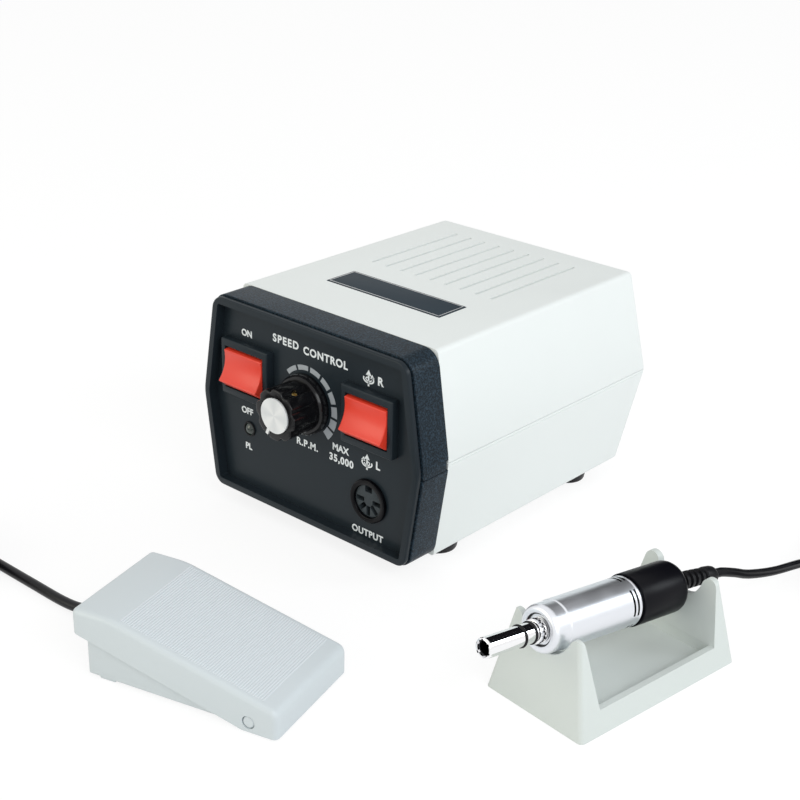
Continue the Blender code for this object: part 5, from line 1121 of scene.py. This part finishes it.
# The ribs get a paler grey than the rest of the treadle moulding: painted light, standing for the lit tops of
# the ribs.
rib_painted_light_grey = plastic("rib_painted_light_grey", (0.71, 0.755, 0.785), 0.40, 1400, 0.04, tint=0.01)
rib_pitch, rib_count, plain_top = 1.0 * mm, 62, 3.2 * mm
rib_half, rib_reach, rib_root, rib_height = 0.28 * mm, 22.2 * mm, 0.25 * mm, 0.20 * mm
rib_form = bmesh.new()
lean = math.atan(slope)
for number in range(rib_count):
    along = slope_start + plain_top + rib_pitch * number * math.cos(lean)
    rib = brick((-rib_half, -rib_reach, -rib_root), (rib_half, rib_reach, rib_height))
    soften(rib, 0.12 * mm, 1, lambda a, b: min(a.z, b.z) > 0)
    bmesh.ops.rotate(rib, cent=(0, 0, 0), matrix=Matrix.Rotation(lean, 3, "Y"), verts=rib.verts)
    bmesh.ops.translate(rib, vec=(along, 0, top_height(along)), verts=rib.verts)
    scratch = bpy.data.meshes.new("rib")
    rib.to_mesh(scratch)
    rib.free()
    rib_form.from_mesh(scratch)
    bpy.data.meshes.remove(scratch)
fit(make("treadle_ribs", rib_form, pedal_place, rib_painted_light_grey), "treadle", "treadle_grey")

base_form = side_block([(4.6 * mm, 1.3 * mm), (82.6 * mm, 1.3 * mm), (82.6 * mm, 9 * mm),
                        (18.6 * mm, 20 * mm), (4.6 * mm, 20 * mm)], 23.1 * mm)
soften(base_form, 0.9 * mm, 4, lambda a, b: min(a.x, b.x) > 82 * mm and abs(a.z - b.z) > 5 * mm)
soften(base_form, 1.6 * mm, 5, lambda a, b: max(a.x, b.x) < 5 * mm and abs(a.z - b.z) > 5 * mm)
soften(base_form, 0.5 * mm, 3, lambda a, b: max(a.z, b.z) < 2 * mm)
pedal_base = make("pedal_base_moulding", base_form, pedal_place, pale_grey)
tub_form = brick((6.4 * mm, -21.3 * mm, 3.1 * mm), (80.8 * mm, 21.3 * mm, 40 * mm))
soften(tub_form, 0.7 * mm, 4, lambda a, b: abs(a.z - b.z) > 5 * mm)
carve(pedal_base, "DIFFERENCE", make("tub", tub_form, pedal_place))
carve(pedal_base, "UNION", make("pin_barrel", rod(3.0 * mm, -23.0 * mm, 23.0 * mm, 48), pin_place))
spring_along, tub_floor = 12 * mm, 3.1 * mm
carve(pedal_base, "UNION", make("spring_post", rod(2 * mm, -1 * mm, 6 * mm, 32),
                                pedal_place @ Matrix.Translation((spring_along, 0, tub_floor))))
for side in (-1, 1):
    boss = soften(brick((9.5 * mm, 21 * mm * side - 1.6 * mm, 0.1 * mm),
                        (16.5 * mm, 21 * mm * side + 1.6 * mm, 2 * mm)), 0.6 * mm, 3)
    carve(pedal_base, "UNION", make("moulded_foot", boss, pedal_place))
carve(pedal_base, "DIFFERENCE", make("pin_bore", rod(1.5 * mm, -28 * mm, 28 * mm), pin_place))
grommet_place = (pedal_place @ Matrix.Translation((4.6 * mm, 8 * mm, 9 * mm))
                 @ Matrix.Rotation(-math.pi / 2, 4, "Y"))
carve(pedal_base, "DIFFERENCE", make("grommet_hole", rod(3.6 * mm, -5 * mm, 2 * mm), grommet_place))
fit(pedal_base, "set_base", "base_grey", "pedal_base")
pin_form = lathe([(0, 24.9 * mm), (1.9 * mm, 24.9 * mm), (2.3 * mm, 24.5 * mm), (2.3 * mm, 23.7 * mm),
                  (1.2 * mm, 23.7 * mm), (1.2 * mm, -23.7 * mm), (2.4 * mm, -23.7 * mm),
                  (2.4 * mm, -24.7 * mm), (2.2 * mm, -24.95 * mm), (0, -24.95 * mm)], 64)
fit(make("pivot_pin_turned", pin_form, pin_place, pale_grey), "set_base", "base_grey", "pivot_pin")
grommet_form = lathe([(0, 1.6 * mm), (3.4 * mm, 1.6 * mm), (4.0 * mm, 1.3 * mm), (4.2 * mm, 0.8 * mm),
                      (4.2 * mm, 0.3 * mm), (3.3 * mm, 0.3 * mm), (3.3 * mm, -2.1 * mm),
                      (4.2 * mm, -2.1 * mm), (4.2 * mm, -3.4 * mm), (0, -3.4 * mm)], 64)
fit(make("cord_grommet", grommet_form, grommet_place, moulded_black), "set_base", "black_rubber",
    "pedal_grommet")
for node, along in (("pedal_pad_back", 13 * mm), ("pedal_pad_front", 60 * mm)):
    strip = soften(brick((along - 4 * mm, -19 * mm, 0), (along + 4 * mm, 19 * mm, 1.0 * mm)), 0.3 * mm)
    fit(make(node + "_rubber", strip, pedal_place, moulded_black), "set_base", "black_rubber", node)
paint(switch_black, "foot_switch_body")
paint(rocker_red, "foot_switch_button")
spring_wire, spring_radius, treadle_fall = 0.8 * mm, 3.2 * mm, 5 * mm
spring_turns, points_a_turn = 7, 24
cad_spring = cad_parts["return_spring"]
spring_heights = [(cad_spring.matrix_world @ vert.co).z for vert in cad_spring.data.vertices]
spring_low = min(spring_heights) + 0.4 * mm
spring_high = max(spring_heights) - 0.5 * mm
spring_line = []
for step in range(spring_turns * points_a_turn + 1):
    angle = math.tau * step / points_a_turn
    height = spring_low + (spring_high - spring_low) * step / (spring_turns * points_a_turn)
    spring_line.append(pedal_place @ Vector((spring_along + spring_radius * math.cos(angle),
                                             spring_radius * math.sin(angle), height)))
spring = fit(swept("return_spring_wire", spring_line, round_section(spring_wire, 12), 0, turned_steel),
             "set_base", "steel", "return_spring")
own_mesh(spring)

# Handpiece stand
# One pale grey moulding: a tray with low side walls between two end walls, each with a round
# notch and two rounded horns. Its surface has a fine eroded grain.
stand_grey = plastic("stand_grey", (0.655, 0.70, 0.675), 0.46, 1500, 0.20, tint=0.02)
to_stand = Matrix.Translation(stand_place) @ Matrix.Rotation(stand_angle, 4, "Z")
to_hand = (to_stand @ Matrix.Translation((0, 0, 35.4 * mm))
           @ Matrix.Rotation(math.pi / 2 + math.radians(6.71), 4, "Y"))


stand_length, stand_half, stand_height = 84.5 * mm, 24 * mm, 35.6 * mm
end_lean, side_lean = 0.13, 0.22
front_radius, back_radius = 12.3 * mm, 10.9 * mm


def leaning(low_u, high_u, half, bottom, top, lean_u, lean_v):
    form = bmesh.new()
    bmesh.ops.create_cube(form, size=2)
    for vert in form.verts:
        up = vert.co.z > 0
        rise = top - bottom if up else 0
        side_u = high_u - lean_u * rise if vert.co.x > 0 else low_u + lean_u * rise
        vert.co = Vector((side_u, math.copysign(half - lean_v * rise, vert.co.y), top if up else bottom))
    return form


stand_form = leaning(0, stand_length, stand_half, 0, stand_height, end_lean, side_lean)
soften(stand_form, 2.0 * mm, 5, lambda a, b: abs(a.z - b.z) > 20 * mm)
cradle = make("stand_moulding", stand_form, to_stand, stand_grey)
wall_lean, tray_height = 0.16, 9.2 * mm
between_low, between_high = 12.3 * mm - wall_lean * tray_height, 72.2 * mm + wall_lean * tray_height
carve(cradle, "DIFFERENCE", make("between_walls", leaning(
    between_low, between_high, 30 * mm, tray_height, 40 * mm, -wall_lean, 0), to_stand))
tray_form = leaning(11.47 * mm, 73.03 * mm, 20.36 * mm, 5.2 * mm, 11.2 * mm, -wall_lean, side_lean)
soften(tray_form, 0.6 * mm, 3, lambda a, b: abs(a.z - b.z) > 4 * mm)
carve(cradle, "DIFFERENCE", make("tray_hollow", tray_form, to_stand))
carve(cradle, "DIFFERENCE", make("front_notch", rod(front_radius, -40 * mm, 40 * mm, 96),
                                 to_hand @ Matrix.Translation((-2.75 * mm, 0, 0))),
      make("back_notch", rod(back_radius, 42 * mm, 120 * mm, 96),
           to_hand @ Matrix.Translation((-6.8 * mm, 0, 0))))
for low_u, high_u, notch, notch_z, top_z, horn in (
        (-3 * mm, 40 * mm, front_radius, 37.4 * mm, stand_height, 2.3 * mm),
        (45 * mm, 90 * mm, back_radius, 33.0 * mm, 33.5 * mm, 3.2 * mm)):
    carve(cradle, "DIFFERENCE", make("wall_top", brick((low_u, -30 * mm, top_z), (high_u, 30 * mm, 40 * mm)),
                                     to_stand))
    horn_z = top_z - horn
    inner_v = math.sqrt((notch + horn) ** 2 - (horn_z - notch_z) ** 2)
    outer_v = stand_half - side_lean * horn_z - horn / math.cos(math.atan(side_lean))
    for side in (-1, 1):
        for middle, last, away in ((inner_v, math.pi + math.atan2(horn_z - notch_z, inner_v), -2 * mm),
                                   (outer_v, math.atan(side_lean), 2 * mm)):
            turns = [math.pi / 2 + (last - math.pi / 2) * step / 8 for step in range(9)]
            arc = [(middle + horn * math.cos(turn), horn_z + horn * math.sin(turn)) for turn in turns]
            last_v, last_z = arc[-1]
            outline = [(middle, 40 * mm), *arc, (last_v + away, last_z), (last_v + away, 40 * mm)]
            corner = pushed_plate([(low_u, side * v, z) for v, z in outline], (high_u - low_u, 0, 0))
            carve(cradle, "DIFFERENCE", make("horn_corner", corner, to_stand))
for low_u in (2.2 * mm, 74.4 * mm):
    carve(cradle, "DIFFERENCE", make("wall_hollow", leaning(
        low_u, low_u + 7.9 * mm, 21.8 * mm, -2 * mm, 17 * mm, wall_lean, side_lean), to_stand))
form = bmesh.new()
form.from_mesh(cradle.data)
bmesh.ops.remove_doubles(form, verts=form.verts, dist=0.03 * mm)
bmesh.ops.dissolve_limit(form, angle_limit=math.radians(0.5), verts=form.verts, edges=form.edges)
form.to_mesh(cradle.data)
form.free()
rounding = cradle.modifiers.new("rounding", "BEVEL")
rounding.width = 1.1 * mm
rounding.segments = 4
rounding.limit_method = "ANGLE"
rounding.angle_limit = math.radians(38)
rounding.use_clamp_overlap = True
fit(cradle, "set_base", "stand_grey", "cradle")

# Motor handpiece
# Satin anodised aluminium motor housing with a bright rim, a stepped collar and two rows of cooling
# slits; a chromed nose with two rubber rings; a satin black back cap and a ribbed strain relief.
hand_axis = tuple(to_hand.to_3x3() @ Vector((0, 0, 1)))
satin = metal("satin_aluminium", (0.80, 0.82, 0.86), 0.34, 0.05, hand_axis)
chrome = metal("polished_chrome", (0.90, 0.90, 0.91), 0.05, 0.01, hand_axis)
cap_black = plastic("cap_black", (0.003, 0.003, 0.005), 0.32, 1600, 0.10, tint=0.15, sheen=0.12)
housing_form = lathe([
    (7.5 * mm, 50 * mm), (8.2 * mm, 50 * mm), (8.3 * mm, 49.9 * mm), (8.3 * mm, 45 * mm), (9.3 * mm, 45 * mm),
    (9.6 * mm, 44.75 * mm), (9.62 * mm, 44.3 * mm), (9.50 * mm, 44.0 * mm), (9.48 * mm, 43.8 * mm),
    (9.478 * mm, 43.7 * mm), (9.467 * mm, 42.05 * mm), (9.455 * mm, 40.2 * mm), (9.252 * mm, 8.5 * mm),
    (9.25 * mm, 8.2 * mm), (9.22 * mm, 7.9 * mm), (9.02 * mm, 7.6 * mm), (9.0 * mm, 7.3 * mm),
    (9.0 * mm, 7.0 * mm), (9.0 * mm, 2.7 * mm), (9.0 * mm, 2.4 * mm), (8.93 * mm, 1.7 * mm),
    (8.72 * mm, 1.1 * mm), (8.38 * mm, 0.6 * mm), (7.95 * mm, 0.22 * mm), (7.45 * mm, 0.04 * mm),
    (7.1 * mm, 0), (6.3 * mm, 0), (6.1 * mm, 0.2 * mm), (6.1 * mm, 1.2 * mm), (3.7 * mm, 1.2 * mm),
    (3.7 * mm, 3.2 * mm), (7.5 * mm, 3.2 * mm), (7.5 * mm, 50 * mm)], 160)
housing = make("motor_housing_turned", housing_form, to_hand, satin)
slit_rows, slit_width, slit_turn = (40.5 * mm, 42.55 * mm), 1.0 * mm, math.radians(20.5)
for low_s in slit_rows:
    for quarter in range(4):
        slit = brick((2.35 * mm, 2.35 * mm, low_s), (10.5 * mm, 10.5 * mm, low_s + slit_width))
        slit_place = to_hand @ Matrix.Rotation(slit_turn + math.pi / 2 * quarter, 4, "Z")
        carve(housing, "DIFFERENCE", make("slit", slit, slit_place))
# Dark oxide steel is the real finish of the rotor and the bore sleeve; on the walls of the cooling slits it
# is painted shade, standing for the dark inside of the slits.
oxide_steel_and_slit_shade = metal("oxide_steel_and_slit_shade", (0.035, 0.036, 0.040), 0.35)
housing.data.materials.append(oxide_steel_and_slit_shade)
from_hand = to_hand.inverted()
for face in housing.data.polygons:
    spot = from_hand @ face.center
    in_slit_shade = slit_rows[0] - 0.1 * mm < spot.z < slit_rows[1] + slit_width + 0.15 * mm
    if in_slit_shade and 7.55 * mm < math.hypot(spot.x, spot.y) < 9.4 * mm:
        face.material_index = 1
fit(housing, "handpiece", "aluminium", "motor_housing")
# A thin black ring in the bottom corner of the front recess is painted shade: it stands for the dark line
# where the recess wall meets its floor.
fit(make("recess_shade_ring", lathe([(5.6 * mm, 0.7 * mm), (6.05 * mm, 0.7 * mm), (6.05 * mm, 1.15 * mm),
                              (5.6 * mm, 1.15 * mm), (5.6 * mm, 0.7 * mm)], 96), to_hand, moulded_black),
    "handpiece", "black_rubber")
nose_form = lathe([
    (1.8 * mm, 3.2 * mm), (3.4 * mm, 3.2 * mm), (3.4 * mm, 0.9 * mm), (4.6 * mm, 0.9 * mm),
    (4.6 * mm, 0.1 * mm), (4.2 * mm, 0), (4.2 * mm, -0.4 * mm), (4.55 * mm, -0.5 * mm),
    (4.55 * mm, -2.7 * mm), (4.4 * mm, -2.9 * mm), (3.8 * mm, -3.1 * mm), (3.8 * mm, -3.5 * mm),
    (3.3 * mm, -3.5 * mm), (3.3 * mm, -4.9 * mm),
    (3.8 * mm, -4.9 * mm), (3.8 * mm, -8.6 * mm), (3.3 * mm, -8.6 * mm), (3.3 * mm, -10.0 * mm),
    (3.8 * mm, -10.0 * mm), (3.8 * mm, -10.2 * mm), (3.8 * mm, -26.0 * mm), (3.8 * mm, -26.2 * mm),
    (3.65 * mm, -26.55 * mm), (3.35 * mm, -26.7 * mm), (3.05 * mm, -26.7 * mm), (2.9 * mm, -26.5 * mm),
    (2.9 * mm, -4.7 * mm), (1.8 * mm, -4.7 * mm), (1.8 * mm, 3.2 * mm)], 128)
nose = make("nose_tube_turned", nose_form, to_hand, chrome)
mouth_slots = 3
for number in range(mouth_slots):
    mouth = to_hand @ Matrix.Rotation(math.pi / 4 + math.pi / mouth_slots * number, 4, "Z")
    carve(nose, "DIFFERENCE", make("mouth_slot", brick(
        (-3.4 * mm, -0.45 * mm, -29 * mm), (3.4 * mm, 0.45 * mm, -25.7 * mm)), mouth))
nose_flutes = 16
for number in range(nose_flutes):
    carve(nose, "DIFFERENCE", make("flute", rod(0.45 * mm, -4 * mm, -0.5 * mm, 12),
                                   round_axis(to_hand, number, nose_flutes, 4.75 * mm)))
fit(nose, "handpiece", "chrome", "nose_tube")
ring_radius, ring_thick, ring_wide, ring_steps = 3.83 * mm, 0.42 * mm, 0.55 * mm, 16
for node, middle in (("o_ring_front", 9.3 * mm), ("o_ring_back", 4.2 * mm)):
    ring_turns = [math.tau * step / ring_steps for step in range(ring_steps + 1)]
    ring = lathe([(ring_radius + ring_thick * math.cos(turn), ring_wide * math.sin(turn) - middle)
                  for turn in ring_turns], 96)
    fit(make(node + "_rubber", ring, to_hand, moulded_black), "handpiece", "black_rubber", node)
cap_form = lathe([
    (3.4 * mm, 72.3 * mm), (7.1 * mm, 72.3 * mm), (7.9 * mm, 72.2 * mm), (8.7 * mm, 71.8 * mm),
    (9.4 * mm, 71.2 * mm), (9.85 * mm, 70.4 * mm), (10.05 * mm, 69.6 * mm), (10.1 * mm, 68.8 * mm),
    (10.1 * mm, 46.6 * mm), (10.0 * mm, 46.35 * mm), (9.8 * mm, 46.2 * mm), (8.6 * mm, 46.2 * mm),
    (8.6 * mm, 51 * mm), (7.6 * mm, 51 * mm), (7.6 * mm, 69.3 * mm), (3.4 * mm, 69.3 * mm),
    (3.4 * mm, 72.3 * mm)], 160)
fit(make("rear_cap_moulding", cap_form, to_hand, cap_black), "handpiece", "cap_black", "rear_cap")
ribs = []
relief_radius, relief_taper, relief_groove = 3.75 * mm, 0.04 * mm, 0.9 * mm
relief_start, relief_pitch, relief_rings, ring_edge = 72.6 * mm, 1.6 * mm, 12, 0.12 * mm
for number in range(relief_rings):
    radius = relief_radius - relief_taper * number - (relief_groove if number % 2 else 0)
    low_s = relief_start + relief_pitch * number
    ribs += [(radius, low_s + ring_edge), (radius + 0.02 * mm, low_s + relief_pitch / 2),
             (radius, low_s + relief_pitch - ring_edge)]
relief_form = lathe([(0, 67.0 * mm), (5.5 * mm, 67.0 * mm), (5.5 * mm, 69.0 * mm), (3.1 * mm, 69.0 * mm),
                     (3.1 * mm, 72.6 * mm), *ribs, (3.0 * mm, 91.9 * mm), (3.45 * mm, 92.3 * mm),
                     (3.6 * mm, 93.2 * mm), (3.6 * mm, 96.6 * mm), (3.4 * mm, 97.8 * mm),
                     (2.9 * mm, 98.7 * mm), (2.4 * mm, 99.0 * mm), (0, 99.0 * mm)], 64)
relief = make("strain_relief_moulding", relief_form, to_hand, moulded_black)
bridge = make("relief_bridge", brick((-2.9 * mm, -0.8 * mm, 73 * mm), (2.9 * mm, 0.8 * mm, 93 * mm)), to_hand)
carve(relief, "UNION", bridge)
bend_start, bend_length, bend_drop = 76 * mm, 23 * mm, 1.8 * mm
for vert in relief.data.vertices:
    past = max((from_hand @ vert.co).z - bend_start, 0) / bend_length
    vert.co.z -= bend_drop * past ** 2
fit(relief, "handpiece", "cord_black", "strain_relief")
fit(make("bore_sleeve", lathe([(2.6 * mm, -25.6 * mm), (2.87 * mm, -25.6 * mm), (2.87 * mm, -4.9 * mm),
                               (2.6 * mm, -4.9 * mm), (2.6 * mm, -25.6 * mm)], 64), to_hand, oxide_steel_and_slit_shade),
    "handpiece", "steel")
paint(oxide_steel_and_slit_shade, "rotor")
paint(turned_steel, "bearing_front", "bearing_back")
paint(iron, "magnet_ring")
paint(switch_black, "brush_holder")

# Studio
# The set stands on a white sheet in an even white surround, lit by broad soft lamps at the right
# front, the right back and the left front. A black card behind it gives the bare metal a dark
# reflection, and the sheet keeps a faint shadow.


def rays_seen(tree):
    paths = tree.nodes.new("ShaderNodeLightPath")
    highest = paths.outputs["Is Camera Ray"]
    for name in ("Is Glossy Ray", "Is Transmission Ray"):
        pick = tree.nodes.new("ShaderNodeMath")
        pick.operation = "MAXIMUM"
        tree.links.new(highest, pick.inputs[0])
        tree.links.new(paths.outputs[name], pick.inputs[1])
        highest = pick.outputs["Value"]
    return highest


def levels(tree, unseen, seen, target):
    level = tree.nodes.new("ShaderNodeMapRange")
    level.inputs["To Min"].default_value = unseen
    level.inputs["To Max"].default_value = seen
    tree.links.new(rays_seen(tree), level.inputs["Value"])
    tree.links.new(level.outputs["Result"], target)


floor_form = bmesh.new()
bmesh.ops.create_grid(floor_form, x_segments=1, y_segments=1, size=6)
floor_white, _, _, floor_shader = new_material("studio_sheet")
floor_shader.inputs["Roughness"].default_value = 0.9
floor_shader.inputs["Specular IOR Level"].default_value = 0
floor_shader.inputs["Emission Color"].default_value = (1, 1, 1, 1)
lit_tone, seen_tone, seen_glow = 0.78, 0.20, 0.84
levels(floor_white.node_tree, lit_tone, seen_tone, floor_shader.inputs["Base Color"])
levels(floor_white.node_tree, 0, seen_glow, floor_shader.inputs["Emission Strength"])
floor = make("studio_sheet", floor_form, Matrix.Translation((0, 0, -0.1 * mm)), floor_white)
card_width, card_height = 1.87, 1.15
flag_form = bmesh.new()
bmesh.ops.create_grid(flag_form, x_segments=1, y_segments=1, size=0.5)
bmesh.ops.scale(flag_form, vec=(card_width, card_height, 1), verts=flag_form.verts)
flag_black, _, _, flag_shader = new_material("black_card")
flag_shader.inputs["Base Color"].default_value = (0.01, 0.01, 0.012, 1)
flag_shader.inputs["Specular IOR Level"].default_value = 0
flag_place = Vector((0.129, 1.077, 0.445))
toward_hand = Vector((0.09, -0.05, 0.035)) - flag_place
flag_turn = toward_hand.to_track_quat("Z", "Y").to_matrix().to_4x4()
flag = make("black_card", flag_form, Matrix.Translation(flag_place) @ flag_turn, flag_black)
flag.visible_camera = False
flag.visible_diffuse = False
flag.visible_shadow = False
world = bpy.data.worlds.new("studio")
bpy.context.scene.world = world
world.use_nodes = True
surround = world.node_tree.nodes["Background"]
surround.inputs["Color"].default_value = (1, 1, 1, 1)
surround_light = 0.62
levels(world.node_tree, surround_light, 1, surround.inputs["Strength"])


def lamp_panel(name, place, aim, size, watts, colour):
    light = bpy.data.lights.new(name, "AREA")
    light.color = colour
    light.shape = "SQUARE"
    light.size = size
    light.energy = watts
    holder = bpy.data.objects.new(name, light)
    holder.location = place
    holder.rotation_euler = (Vector(aim) - Vector(place)).to_track_quat("-Z", "Y").to_euler()
    bpy.context.scene.collection.objects.link(holder)


box_middle, hand_middle = (0, 0, 0.04), (0.12, -0.06, 0.04)
lamp_panel("side_lamp", (1.3, -0.5, 0.9), box_middle, 0.9, 10, (0.95, 0.98, 1.0))
lamp_panel("back_lamp", (0.91, 0.79, 0.66), hand_middle, 0.4, 3.4, (0.90, 0.96, 1.0))
lamp_panel("fill_lamp", (-0.7, -1.3, 0.5), box_middle, 0.9, 5.4, (1.0, 0.98, 0.80))
bpy.context.scene.view_settings.view_transform = "Standard"
